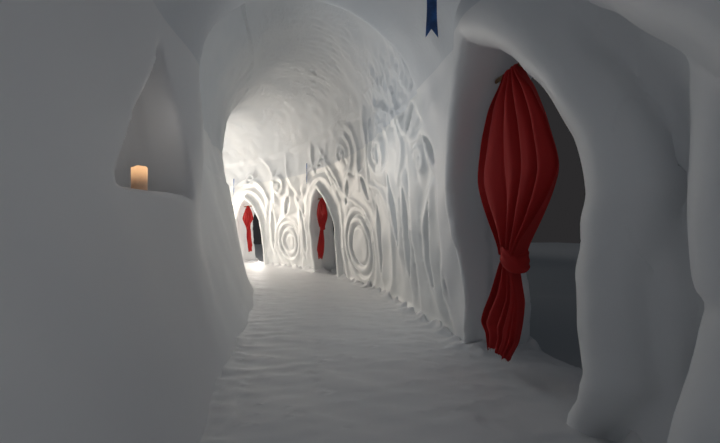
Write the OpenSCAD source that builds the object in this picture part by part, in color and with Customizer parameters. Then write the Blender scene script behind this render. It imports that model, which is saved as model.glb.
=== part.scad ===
// Snow passage of an igloo: a vaulted corridor that bends to the left, with three
// arched doorways on its outer side and a candle niche on its inner side.
// Millimetres. Looking along the passage, +Y is ahead, +X is to the right, +Z is up.

/* [Passage] */
// Clear width between the feet of the two walls
passage_w = 2220; // [1900:20:2600]
// Length of the straight run, from the near end to the start of the bend
straight_len = 6600; // [6400:50:7600]
// Length of the low near vault, along the left wall
near_len = 3800; // [3700:20:4200]
// Extra length of the low near vault along the right wall
near_skew = 1000; // [600:20:1200]
// Radius of the bend, to the middle of the passage
bend_r = 10900; // [9500:100:13000]
// Angle of the bend
bend_angle = 50; // [48:1:56]

/* [Walls and vault] */
// Height of the walls, where the vault starts
wall_h = 2300; // [2250:10:2450]
// Outward lean of the left wall along the main vault, for each unit of height
left_lean = 0.19; // [0.12:0.01:0.22]
// Outward lean of the left wall along the near vault, for each unit of height
near_lean = 0.09; // [0.05:0.01:0.12]
// Inward lean of the right wall, for each unit of height
right_lean = 0.13; // [0.08:0.01:0.15]
// Inside height of the low near vault
near_crown_h = 3150; // [3050:10:3350]
// Inside height of the main vault
main_crown_h = 4100; // [3800:10:4400]
// Thickness of the walls at the foot
foot_t = 650; // [560:10:800]
// Thickness of the walls where the vault starts
spring_t = 560; // [480:10:640]
// Thickness of the vault at the crown
crown_t = 450; // [360:10:560]
// Depth of the packed snow floor
floor_t = 150; // [100:10:220]

/* [Doorways] */
// Width of the near doorway
door_1_w = 1700; // [1550:10:1740]
// Width of the two far doorways
far_door_w = 1300; // [1150:10:1340]
// Height at which the arch of the near doorway starts
door_1_spring = 970; // [900:10:1000]
// Height at which the arches of the far doorways start
far_door_spring = 930; // [900:10:1050]
// Distance of the near doorway's middle from the near end of the passage
door_1_at = 3230; // [3180:10:3300]
// Angle along the bend of the second doorway
door_2_angle = 18.2; // [17.6:0.1:19]
// Angle along the bend of the third doorway
door_3_angle = 38.9; // [38:0.1:40]
// Radius of the rolled snow moulding around the near doorway
roll_r = 170; // [130:5:190]
// Radius of the thin moulding around a far doorway
far_roll_r = 80; // [60:5:110]

/* [Carving] */
// Depth of the carved hollows in the right wall
carving_depth = 60; // [30:5:90]
// Radius of the large ringed disc
disc_r = 640; // [500:10:680]

/* [Niche and candle] */
// Width of the niche at its sill
niche_w = 1160; // [900:10:1180]
// Height of the niche sill above the floor
niche_sill = 1310; // [1150:10:1350]
// Height of the niche
niche_h = 860; // [700:10:880]
// Depth of the niche at its sill
niche_depth = 380; // [300:10:420]
// Diameter of the candle
candle_d = 78; // [50:1:100]
// Height of the candle
candle_h = 125; // [80:1:200]

/* [Curtains] */
// Greatest width of a draped curtain in the near doorway
curtain_1_w = 1000; // [800:10:1060]
// Greatest width of a draped curtain in a far doorway
far_curtain_w = 600; // [520:10:680]
// Depth of the folds of a curtain
curtain_t = 170; // [120:5:180]
// Height of the near curtain's knot above the floor
knot_z = 920; // [850:10:1000]
// Clearance of the near curtain above the floor
hem_z = 200; // [150:10:300]
// Height of the knots of the far curtains above the floor
far_knot_z = 1180; // [1050:10:1220]
// Clearance of the far curtains above the floor
far_hem_z = 400; // [300:10:500]
// Diameter of the wooden rod that carries a curtain
rod_d = 32; // [24:1:40]

/* [Hidden] */

$fn = 72;
// Roundness of the long bend
bend_fn = 600;
// Roundness of the doorway arches
arch_fn = 216;
// Squareness of the vault: 2 is an ellipse
vault_power = 2.3;
// Straight stretches of the vault's outline
vault_steps = 18;
// Bearing of a door head on the walls beside it
head_bearing = 200;
// Height of snow over the tip of a doorway
head_cover = 420;
// Foot of the left wall's outer face, beyond its top
left_foot_out = 100;
// How far a cut through a wall starts inside and ends outside of its inner face
cut_in = 800;
cut_out = 1600;
// Farther out than any piece of a doorway or of the near vault
beyond = 4000;

// The passage is laid out from the near end (y = 0) with its middle at x = 0
half_w = passage_w / 2;
bend_x = -bend_r;
bend_y = straight_len;
// Outer faces of the walls at the foot and at the springing
left_out_top = -(half_w + left_lean * wall_h + spring_t);
left_out_foot = left_out_top - left_foot_out;
right_out_foot = half_w + foot_t;
right_out_top = half_w - right_lean * wall_h + spring_t;
// Overall box of the passage, which puts the origin at the middle of its underside
outer_r = bend_r + right_out_foot;
inner_r = bend_r + left_out_foot;
x_low = bend_x + inner_r * cos(bend_angle);
x_high = right_out_foot;
y_high = bend_y + outer_r * sin(bend_angle);
origin_shift = [-(x_low + x_high) / 2, -y_high / 2, floor_t];

// Curve of the vault: height above the springing at a share u (-1..1) of the half span
function vault_rise(u, rise) = rise * pow(max(0, 1 - pow(abs(u), vault_power)), 1 / vault_power);

// Points of a vault line from xa to xb, which rises above the walls by rise
function vault_line(xa, xb, rise) = [
    for (i = [0:vault_steps])
        let (a = 180 * i / vault_steps, u = -cos(a))
        [(xa + xb) / 2 + u * (xb - xa) / 2, wall_h + vault_rise(u, rise)]
];

function reverse(list) = [for (i = [len(list) - 1:-1:0]) list[i]];

// Inner corners of the section at the springing
function left_in_top(lean) = -half_w - lean * wall_h;
right_in_top = half_w - right_lean * wall_h;

// Outline of the left wall, foot to springing
module left_wall_outline(lean) {
    polygon([
        [-half_w, -floor_t], [-half_w, 0], [left_in_top(lean), wall_h],
        [left_out_top, wall_h], [left_out_foot, -floor_t]
    ]);
}

// Outline of the right wall, foot to springing
module right_wall_outline() {
    polygon([
        [half_w, -floor_t], [half_w, 0], [right_in_top, wall_h],
        [right_out_top, wall_h], [right_out_foot, -floor_t]
    ]);
}

// Outline of the vault over both walls
module vault_outline(lean, crown_h) {
    inside = vault_line(left_in_top(lean), right_in_top, crown_h - wall_h);
    outside = vault_line(left_out_top, right_out_top, crown_h + crown_t - wall_h);
    polygon(concat(inside, reverse(outside)));
}

// Outline of the right wall with the half of the vault that it carries
module right_side_outline(lean, crown_h) {
    inside = vault_line(left_in_top(lean), right_in_top, crown_h - wall_h);
    outside = vault_line(left_out_top, right_out_top, crown_h + crown_t - wall_h);
    half = vault_steps / 2;
    polygon(concat(
        [[half_w, -floor_t], [half_w, 0]],
        [for (i = [vault_steps:-1:half]) inside[i]],
        [for (i = [half:vault_steps]) outside[i]],
        [[right_out_foot, -floor_t]]
    ));
}

module floor_outline() {
    translate([-half_w, -floor_t]) square([passage_w, floor_t]);
}

// Runs an outline straight ahead from y = from to y = to
module straight_run(from, to) {
    translate([0, to, 0]) rotate([90, 0, 0]) linear_extrude(to - from) children();
}

// Runs an outline around the bend from angle from to angle to
module bend_run(from, to) {
    translate([bend_x, bend_y, 0])
        rotate([0, 0, from])
            rotate_extrude(angle = to - from, $fn = bend_fn)
                translate([bend_r, 0]) children();
}

// Moves children to a doorway: x runs along the wall, y outward and z up, with the
// origin on the foot of the wall's inner face
module at_straight_door(at) {
    translate([half_w, at, 0]) rotate([0, 0, 90]) mirror([0, 1, 0]) children();
}

module at_bend_door(angle) {
    translate([bend_x, bend_y, 0])
        rotate([0, 0, angle])
            translate([bend_r + half_w, 0, 0]) rotate([0, 0, 90]) mirror([0, 1, 0]) children();
}

// Height of the tip of a pointed arch over its springing
function arch_rise(w) = w * sqrt(3) / 2;

// Pointed arch cut through the snow over a doorway: two arcs that meet at the tip
module arch_cut(w, spring) {
    translate([0, cut_out, spring]) rotate([90, 0, 0]) linear_extrude(cut_in + cut_out) intersection() {
        translate([-w / 2, 0]) circle(w, $fn = arch_fn);
        translate([w / 2, 0]) circle(w, $fn = arch_fn);
    }
}

// Gap between the walls on the two sides of a doorway, up to the springing of its arch
module doorway_gap(w, spring) {
    translate([-w / 2, -cut_in, -floor_t - 10]) cube([w, cut_in + cut_out, spring + floor_t + 20]);
}

// Height of the top of a door head, and its half width as a length and as an angle
function head_top(w, spring) = spring + arch_rise(w) + head_cover;
function head_half(w) = w / 2 + head_bearing;
function head_half_angle(w) = asin(head_half(w) / bend_r);

// Section of the space that a door head takes up in the wall and the vault
module head_space_outline(w, spring) {
    translate([right_in_top - 500, spring]) square([2000, head_top(w, spring) - spring]);
}

// Section of a door head, the part of the wall and the vault in that space
module head_outline(lean, crown_h, w, spring) {
    intersection() {
        right_side_outline(lean, crown_h);
        head_space_outline(w, spring);
    }
}

module straight_head_space(at, w, spring) {
    straight_run(at - head_half(w), at + head_half(w)) head_space_outline(w, spring);
}

module bend_head_space(angle, w, spring) {
    bend_run(angle - head_half_angle(w), angle + head_half_angle(w))
        head_space_outline(w, spring);
}

// Floor of a doorway, through the thickness of the wall
module sill(w) {
    translate([-w / 2, -110, -floor_t]) cube([w, foot_t + 110, floor_t]);
}

// What a doorway and its head take out of the walls beside it and of the vault
module beside_door_1() {
    at_straight_door(door_1_at) doorway_gap(door_1_w, door_1_spring);
    straight_head_space(door_1_at, door_1_w, door_1_spring);
}

module beside_far_door(angle) {
    at_bend_door(angle) doorway_gap(far_door_w, far_door_spring);
    bend_head_space(angle, far_door_w, far_door_spring);
}

// Half plane in plan that bounds the low near vault; it is skewed, further ahead on
// the right than on the left
module near_part() {
    skew = near_skew / passage_w;
    translate([0, 0, -beyond / 4]) linear_extrude(2 * beyond)
        polygon([
            [-beyond, -10], [beyond, -10],
            [beyond, near_len + skew * (beyond + half_w)],
            [-beyond, near_len - skew * (beyond - half_w)]
        ]);
}

near_end = near_len + near_skew + 600;

// Floors, each with the sills of its doorways
floor_split = door_1_at + door_1_w / 2 + 300;

module floor_near() {
    color("gainsboro") union() {
        straight_run(0, floor_split) floor_outline();
        at_straight_door(door_1_at) sill(door_1_w);
    }
}

module floor_straight() {
    color("gainsboro") straight_run(floor_split, straight_len) floor_outline();
}

module floor_bend_1() {
    color("gainsboro") union() {
        bend_run(0, bend_angle / 2) floor_outline();
        at_bend_door(door_2_angle) sill(far_door_w);
    }
}

module floor_bend_2() {
    color("gainsboro") union() {
        bend_run(bend_angle / 2, bend_angle) floor_outline();
        at_bend_door(door_3_angle) sill(far_door_w);
    }
}

// Niche: a tall triangle cut into the left wall
niche_at = 2950;
niche_face_x = -half_w - near_lean * niche_sill;

module niche_cut() {
    translate([niche_face_x - niche_depth, niche_at, niche_sill])
        rotate([90, 0, 90])
            linear_extrude(niche_depth + 500)
                polygon([[-niche_w / 2, 0], [niche_w / 2, 0], [niche_w / 12, niche_h]]);
}

niche_wall_from = niche_at - niche_w / 2 - 240;

module left_wall_near() {
    color("lightsteelblue") straight_run(0, niche_wall_from) left_wall_outline(near_lean);
}

module niche_wall() {
    color("lightsteelblue") difference() {
        straight_run(niche_wall_from, near_len) left_wall_outline(near_lean);
        niche_cut();
    }
}

module left_wall_straight() {
    color("lightsteelblue") straight_run(near_len, straight_len) left_wall_outline(left_lean);
}

module left_wall_bend_1() {
    color("lightsteelblue") bend_run(0, bend_angle / 2) left_wall_outline(left_lean);
}

module left_wall_bend_2() {
    color("lightsteelblue") bend_run(bend_angle / 2, bend_angle) left_wall_outline(left_lean);
}

// Carved hollows of the right wall: a leaf, and a disc of two rings. They are cut
// square to the leaning face, at a height z over the floor
module on_face(z) {
    rotate([atan(right_lean), 0, 0]) translate([0, carving_depth, z]) rotate([90, 0, 0])
        linear_extrude(carving_depth + 260) children();
}

module leaf(length, width, tilt, z) {
    r = (length * length + width * width) / (4 * width);
    on_face(z) rotate(tilt) intersection() {
        translate([r - width / 2, 0]) circle(r, $fn = arch_fn);
        translate([width / 2 - r, 0]) circle(r, $fn = arch_fn);
    }
}

groove_w = 70;

module disc(r, z) {
    for (ring = [r, r - 3 * groove_w]) on_face(z) difference() {
        circle(ring, $fn = arch_fn);
        circle(ring - groove_w, $fn = arch_fn);
    }
}

module carving_1() {
    at_straight_door(straight_len - 1000) leaf(1300, 240, 6, 1050);
    at_straight_door(straight_len - 480) leaf(1150, 260, -8, 1380);
}

module carving_2() {
    at_bend_door(8.6) disc(disc_r, 800);
    at_bend_door(2.6) leaf(1250, 280, 8, 950);
    at_bend_door(5.2) leaf(560, 220, -35, 1850);
    at_bend_door(10.6) leaf(620, 230, 30, 1880);
}

module carving_3() {
    at_bend_door(28.6) disc(disc_r * 0.75, 760);
    at_bend_door(24.4) leaf(1300, 260, -5, 1100);
    at_bend_door(32.6) leaf(1250, 260, 6, 1150);
    at_bend_door(28.2) leaf(620, 230, 28, 1800);
}

// Angle short of a far doorway's middle where the walls beside it stop, in its gap
gap_stop = 1.76;

// Right wall, between the doorways
module near_pier() {
    color("gainsboro") difference() {
        straight_run(0, door_1_at) right_wall_outline();
        beside_door_1();
    }
}

module carved_wall_1() {
    color("gainsboro") difference() {
        straight_run(door_1_at, straight_len) right_wall_outline();
        beside_door_1();
        carving_1();
    }
}

module carved_wall_2() {
    color("gainsboro") difference() {
        bend_run(0, door_2_angle - gap_stop) right_wall_outline();
        beside_far_door(door_2_angle);
        carving_2();
    }
}

module carved_wall_3() {
    color("gainsboro") difference() {
        bend_run(door_2_angle + gap_stop, door_3_angle - gap_stop) right_wall_outline();
        beside_far_door(door_2_angle);
        beside_far_door(door_3_angle);
        carving_3();
    }
}

module end_pier() {
    color("gainsboro") difference() {
        bend_run(door_3_angle + gap_stop, bend_angle) right_wall_outline();
        beside_far_door(door_3_angle);
    }
}

// Curtain rod places: distance of a rod out from the foot line, and its height
rod_out = -80;
far_rod_out = -190;
function rod_z(w, spring) = spring + arch_rise(w) - 190;
rod_reach = 330;

module rod_shape(w, spring, out, r) {
    translate([-rod_reach, out, rod_z(w, spring)])
        rotate([0, 90, 0]) cylinder(r = r, h = 2 * rod_reach);
}

// Wall and vault beside a doorway, which the moulding and the snow forms stand on
module straight_shell() {
    straight_run(0, near_end) right_side_outline(near_lean, near_crown_h);
}

module bend_shell(angle) {
    reach = head_half_angle(far_door_w) + 0.47;
    bend_run(angle - reach, angle + reach) right_side_outline(left_lean, main_crown_h);
}

// Heads over the doorways
module door_head_1() {
    color("gainsboro") difference() {
        straight_run(door_1_at - head_half(door_1_w), door_1_at + head_half(door_1_w))
            head_outline(near_lean, near_crown_h, door_1_w, door_1_spring);
        at_straight_door(door_1_at) {
            arch_cut(door_1_w, door_1_spring);
            rod_shape(door_1_w, door_1_spring, rod_out, rod_d / 2 + 0.3);
        }
    }
}

module far_head(angle) {
    half = head_half_angle(far_door_w);
    difference() {
        bend_run(angle - half, angle + half)
            head_outline(left_lean, main_crown_h, far_door_w, far_door_spring);
        at_bend_door(angle) {
            arch_cut(far_door_w, far_door_spring);
            rod_shape(far_door_w, far_door_spring, far_rod_out, rod_d / 2 + 0.3);
        }
    }
}

module door_head_2() { color("gainsboro") far_head(door_2_angle); }
module door_head_3() { color("gainsboro") far_head(door_3_angle); }

// Vaults
module vault_near() {
    color("lightgrey") difference() {
        intersection() {
            straight_run(0, near_end) vault_outline(near_lean, near_crown_h);
            near_part();
        }
        beside_door_1();
        ribbon_1_shape(0.3);
    }
}

module vault_straight() {
    color("lightgrey") difference() {
        straight_run(near_len - 900, straight_len) vault_outline(left_lean, main_crown_h);
        near_part();
        beside_door_1();
    }
}

module vault_bend_1() {
    color("lightgrey") difference() {
        bend_run(0, bend_angle / 2) vault_outline(left_lean, main_crown_h);
        beside_far_door(door_2_angle);
        small_ribbon_shape(door_2_angle, 0.3);
    }
}

module vault_bend_2() {
    color("lightgrey") difference() {
        bend_run(bend_angle / 2, bend_angle) vault_outline(left_lean, main_crown_h);
        beside_far_door(door_3_angle);
        small_ribbon_shape(door_3_angle, 0.3);
    }
}

// Rolled moulding around a doorway, leaning with the wall
module roll(w, spring, roll_r) {
    arc_r = w + roll_r;
    tip = acos((w / 2) / arc_r);
    rotate([atan(right_lean), 0, 0]) for (side = [-1, 1]) scale([side, 1, 1]) {
        translate([w / 2 + roll_r, 0, -200]) cylinder(r = roll_r, h = spring + 200, $fn = 144);
        translate([-w / 2, 0, spring]) rotate([90, 0, 0])
            rotate_extrude(angle = tip + 6, $fn = arch_fn)
                translate([arc_r, 0]) circle(roll_r);
    }
}

module above_floor() {
    translate([-beyond, -beyond, 0]) cube(2 * beyond);
}

module door_arch_1() {
    color("whitesmoke") difference() {
        at_straight_door(door_1_at) intersection() {
            roll(door_1_w, door_1_spring, roll_r);
            above_floor();
        }
        straight_shell();
    }
}

module far_arch(angle) {
    difference() {
        at_bend_door(angle) intersection() {
            roll(far_door_w, far_door_spring, far_roll_r);
            above_floor();
        }
        bend_shell(angle);
    }
}

module door_arch_2() { color("whitesmoke") far_arch(door_2_angle); }
module door_arch_3() { color("whitesmoke") far_arch(door_3_angle); }

// Curtains: a cloth gathered on its rod, spread below it and knotted
knot_r = 75;
tail_w = 250;

module curtain(w, spring, out, full_w, knot_z, hem_z) {
    top = rod_z(w, spring);
    wide_z = knot_z + 0.46 * (top - knot_z);
    translate([0, out, 0]) difference() {
        union() {
            translate([0, curtain_t / 2, 0]) rotate([90, 0, 0]) linear_extrude(curtain_t) {
                polygon([
                    [-110, top + rod_d], [110, top + rod_d],
                    [full_w / 2, wide_z], [60, knot_z], [-60, knot_z],
                    [-full_w / 2, wide_z]
                ]);
                polygon([
                    [-50, knot_z], [50, knot_z],
                    [tail_w * 0.45, hem_z], [-tail_w * 0.55, hem_z]
                ]);
            }
            translate([0, 0, knot_z]) sphere(knot_r);
        }
        translate([-full_w, 0, top]) rotate([0, 90, 0])
            cylinder(r = rod_d / 2 + 0.3, h = 2 * full_w);
    }
}

module curtain_1() {
    color("firebrick") at_straight_door(door_1_at)
        curtain(door_1_w, door_1_spring, rod_out, curtain_1_w, knot_z, hem_z);
}

module curtain_2() {
    color("firebrick") at_bend_door(door_2_angle)
        curtain(far_door_w, far_door_spring, far_rod_out, far_curtain_w, far_knot_z, far_hem_z);
}

module curtain_3() {
    color("firebrick") at_bend_door(door_3_angle)
        curtain(far_door_w, far_door_spring, far_rod_out, far_curtain_w, far_knot_z, far_hem_z);
}

module curtain_rod_1() {
    color("saddlebrown") at_straight_door(door_1_at)
        rod_shape(door_1_w, door_1_spring, rod_out, rod_d / 2);
}

module curtain_rod_2() {
    color("saddlebrown") at_bend_door(door_2_angle)
        rod_shape(far_door_w, far_door_spring, far_rod_out, rod_d / 2);
}

module curtain_rod_3() {
    color("saddlebrown") at_bend_door(door_3_angle)
        rod_shape(far_door_w, far_door_spring, far_rod_out, rod_d / 2);
}

// Candle on the sill of the niche
candle_place = [niche_face_x - 110, niche_at - niche_w / 18, niche_sill];

module candle() {
    color("antiquewhite") translate(candle_place) difference() {
        cylinder(d = candle_d, h = candle_h);
        translate([0, 0, candle_h - 8]) cylinder(d = candle_d - 16, h = 20);
    }
}

module candle_wick() {
    color("dimgray") translate([candle_place[0], candle_place[1], candle_place[2] + candle_h - 8])
        cylinder(d = 3, h = 16, $fn = 24);
}

// Ribbons that mark the doorways; each hangs from a slot in the face of the vault
ribbon_w = 90;
ribbon_t = 5;
ribbon_1_x = 440;
ribbon_1_y = 3270;
ribbon_1_low = 2465;
small_ribbon_w = 60;
small_ribbon_along = far_door_w / 2;
small_ribbon_out = -340;
small_ribbon_low = far_door_spring + arch_rise(far_door_w) + 2.5 * far_roll_r;
// The ribbon hangs off the middle of the doorway, where the bent wall is nearer
small_ribbon_x = norm([bend_r + half_w + small_ribbon_out, small_ribbon_along]) - bend_r;
ribbon_seat = 40;

// Height of the inner face of a vault over a place x across the passage
function vault_face(x, lean, crown_h) =
    let (middle = (left_in_top(lean) + right_in_top) / 2, half = right_in_top - middle)
    wall_h + vault_rise((x - middle) / half, crown_h - wall_h);

// Ribbon with a notch in its lower end, larger all round by gap for its slot
module ribbon(w, low, top, gap = 0) {
    difference() {
        translate([-w / 2 - gap, -ribbon_t / 2 - gap, low])
            cube([w + 2 * gap, ribbon_t + 2 * gap, top + gap - low]);
        if (gap == 0) translate([0, 50, low]) rotate([90, 0, 0])
            linear_extrude(100) polygon([[-w / 3, -1], [w / 3, -1], [0, w * 0.75]]);
    }
}

module ribbon_1_shape(gap = 0) {
    top = vault_face(ribbon_1_x - ribbon_w / 2, near_lean, near_crown_h) + ribbon_seat;
    translate([ribbon_1_x, ribbon_1_y, 0]) ribbon(ribbon_w, ribbon_1_low, top, gap);
}

// Small ribbon over the moulding of a far doorway
module small_ribbon_shape(angle, gap = 0) {
    top = vault_face(small_ribbon_x, left_lean, main_crown_h) + ribbon_seat;
    at_bend_door(angle) translate([small_ribbon_along, small_ribbon_out, 0])
        ribbon(small_ribbon_w, small_ribbon_low, top, gap);
}

module ribbon_1() { color("midnightblue") ribbon_1_shape(); }
module ribbon_2() { color("midnightblue") small_ribbon_shape(door_2_angle); }
module ribbon_3() { color("midnightblue") small_ribbon_shape(door_3_angle); }

// Carved drapery of snow on the near pier: a hanging column and a swag over it
column_y = 1675;
column_r = 160;
column_low = 820;
swag_r = 220;
swag_len = 900;
swag_end = wall_h - 50;
swag_far = 2200;
swag_tilt = 44;

module pier_column() {
    x = half_w - right_lean * 1500;
    color("whitesmoke") difference() {
        translate([x, column_y, 0]) {
            translate([0, 0, column_low + column_r])
                cylinder(r = column_r, h = wall_h - column_low - column_r - 300);
            translate([0, 0, column_low + column_r]) sphere(column_r);
        }
        straight_shell();
        swag_shape();
    }
}

// The swag falls from beside the near doorway towards the near end
module swag_shape() {
    translate([half_w - right_lean * swag_end, swag_far - swag_r, swag_end])
        rotate([90 + swag_tilt, 0, 0]) {
            cylinder(r = swag_r, h = swag_len);
            sphere(swag_r);
            translate([0, 0, swag_len]) sphere(swag_r);
        }
}

module pier_swag() {
    color("whitesmoke") difference() {
        swag_shape();
        straight_shell();
    }
}

module placed() { translate(origin_shift) children(); }

placed() floor_near();
placed() floor_straight();
placed() floor_bend_1();
placed() floor_bend_2();
placed() left_wall_near();
placed() niche_wall();
placed() left_wall_straight();
placed() left_wall_bend_1();
placed() left_wall_bend_2();
placed() near_pier();
placed() door_head_1();
placed() carved_wall_1();
placed() carved_wall_2();
placed() door_head_2();
placed() carved_wall_3();
placed() door_head_3();
placed() end_pier();
placed() vault_near();
placed() vault_straight();
placed() vault_bend_1();
placed() vault_bend_2();
placed() door_arch_1();
placed() door_arch_2();
placed() door_arch_3();
placed() curtain_1();
placed() curtain_2();
placed() curtain_3();
placed() curtain_rod_1();
placed() curtain_rod_2();
placed() curtain_rod_3();
placed() candle();
placed() candle_wick();
placed() ribbon_1();
placed() ribbon_2();
placed() ribbon_3();
placed() pier_column();
placed() pier_swag();
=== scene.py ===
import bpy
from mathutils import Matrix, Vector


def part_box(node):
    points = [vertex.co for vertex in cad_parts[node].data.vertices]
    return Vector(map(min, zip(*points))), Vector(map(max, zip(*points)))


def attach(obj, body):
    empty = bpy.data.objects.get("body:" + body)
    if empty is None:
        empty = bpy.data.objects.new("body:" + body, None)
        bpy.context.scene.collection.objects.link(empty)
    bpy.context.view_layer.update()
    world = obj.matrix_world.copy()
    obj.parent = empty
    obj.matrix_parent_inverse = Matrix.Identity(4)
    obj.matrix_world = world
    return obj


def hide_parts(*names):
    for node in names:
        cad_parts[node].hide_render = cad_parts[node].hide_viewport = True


bl_info = {
    "name": "Snow passage",
    "version": (1, 0, 0),
    "blender": (4, 5, 0),
    "location": "View3D > Sidebar > Snow passage",
    "description": "Shapes the snow, the cloth and the candle of a curved igloo passage",
    "category": "Object",
}

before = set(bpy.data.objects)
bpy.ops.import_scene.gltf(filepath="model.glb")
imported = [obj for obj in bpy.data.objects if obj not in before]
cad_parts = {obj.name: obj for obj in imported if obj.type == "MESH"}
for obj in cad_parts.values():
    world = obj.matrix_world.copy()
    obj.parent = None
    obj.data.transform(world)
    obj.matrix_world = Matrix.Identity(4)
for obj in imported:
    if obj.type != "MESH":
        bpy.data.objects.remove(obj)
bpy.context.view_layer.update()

import math
from collections import namedtuple
from contextlib import contextmanager

import bpy
import numpy as np
from bpy.props import FloatProperty, FloatVectorProperty, IntProperty, PointerProperty
from mathutils import Vector

ROOT = "root"

# Place of the passage in the frame: the near end of its centre line, at floor level
FLOOR_LOW, FLOOR_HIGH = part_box("floor_near")
ORIGIN_Y = FLOOR_LOW.y
ORIGIN_Z = FLOOR_HIGH.z
FLOOR_T = FLOOR_HIGH.z - FLOOR_LOW.z
PASSAGE_W = 2.22
HALF_W = PASSAGE_W / 2
ORIGIN_X = FLOOR_LOW.x + HALF_W
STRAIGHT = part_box("floor_straight")[1].y - ORIGIN_Y
BEND_R = 10.9
BEND_ANGLE = math.radians(50)
HALF_BEND = STRAIGHT + BEND_R * BEND_ANGLE / 2
LENGTH = STRAIGHT + BEND_R * BEND_ANGLE

WALL_H = 2.3
NEAR_LEAN = 0.09
LEFT_LEAN = 0.19
RIGHT_LEAN = 0.13
CROWN_T = 0.45
FOOT_T = 0.65
SPRING_T = 0.56
NEAR_CROWN = 3.15
MAIN_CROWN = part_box("vault_straight")[1].z - ORIGIN_Z - CROWN_T
NEAR_LEN = 3.8
NEAR_SKEW = 1.0
VAULT_POWER = 2.3


# sizes and colours

def length_of(name, text, default, low, high):
    return FloatProperty(name=name, description=text, default=default, min=low, max=high,
                         unit="LENGTH")


def power_of(name, text, default, high=500.0):
    return FloatProperty(name=name, description=text, default=default, min=0.0, max=high,
                         subtype="POWER")


def colour_of(name, text, default):
    return FloatVectorProperty(name=name, description=text, default=default, min=0, max=1,
                               subtype="COLOR", size=3)


class SnowSizes(bpy.types.PropertyGroup):
    cell: length_of("Cell", "Spacing of the points that the snow is shaped with",
                    0.034, 0.02, 0.12)
    relief: length_of("Relief", "Depth of the carving under the face of the wall",
                      0.07, 0.0, 0.15)
    unevenness: length_of("Unevenness", "How far the smoothed snow swells and sinks",
                          0.012, 0.0, 0.04)
    lip: length_of("Lip", "Length over which the low near vault opens into the main one",
                   0.24, 0.1, 0.6)


class SnowColours(bpy.types.PropertyGroup):
    smooth: colour_of("Smooth snow", "Colour of the smoothed walls, if the frame has none",
                      (0.74, 0.79, 0.84))
    carved: colour_of("Carved snow",
                      "Colour of the vault, and of the carved walls if the frame has none",
                      (0.80, 0.83, 0.86))
    trodden: colour_of("Trodden snow", "Colour of the floor, if the frame has none",
                       (0.72, 0.75, 0.78))


class CurtainSizes(bpy.types.PropertyGroup):
    cloth_w: length_of("Cloth width", "Width of the flat cloth of the near curtain",
                       1.35, 1.0, 2.0)
    far_cloth_w: length_of("Far cloth width", "Width of the flat cloth of a far curtain",
                           0.85, 0.7, 1.5)
    pleats: IntProperty(name="Pleats", description="Folds across the cloth",
                        default=5, min=3, max=9)
    red: colour_of("Red", "Colour of the curtain cloth, if the frame has none",
                   (0.58, 0.0024, 0.0018))


class SmallColours(bpy.types.PropertyGroup):
    ribbon: colour_of("Ribbon", "Colour of the ribbons", (0.03, 0.13, 0.42))
    wax: colour_of("Wax", "Colour of the candle", (0.85, 0.62, 0.42))
    wood: colour_of("Wood", "Colour of the curtain rods", (0.30, 0.17, 0.08))


class StageLook(bpy.types.PropertyGroup):
    floor: colour_of("Floor", "Colour of the plain floor", (0.50, 0.51, 0.53))
    sky: FloatProperty(name="Surroundings", description="Strength of the light from all round",
                       default=0.056, min=0.0, max=2.0)
    end_light: power_of("Far end light", "Power of the lamp beyond the far end", 118.0, 20000.0)
    inner_light: power_of("Passage light", "Power of the lamp under the vault", 7.8)
    doorway_light: power_of("Far doorway light", "Power of the lamp outside the last doorway",
                            110.0)


# materials

class Wire:
    """A value on its way through a material; sums and products add Math nodes."""

    def __init__(self, finish, socket):
        self.finish = finish
        self.socket = socket

    def maths(self, operation, first, second):
        return self.finish.node("ShaderNodeMath", {"operation": operation}, {0: first, 1: second})

    def __add__(self, other): return self.maths("ADD", self, other)
    def __radd__(self, other): return self.maths("ADD", other, self)
    def __rsub__(self, other): return self.maths("SUBTRACT", other, self)
    def __mul__(self, other): return self.maths("MULTIPLY", self, other)

    def between(self, low, high):
        """0 below low, 1 above high, smooth in between."""
        return self.finish.node(
            "ShaderNodeMapRange", {"interpolation_type": "SMOOTHSTEP"},
            {"Value": self, "From Min": low, "From Max": high})


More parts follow.
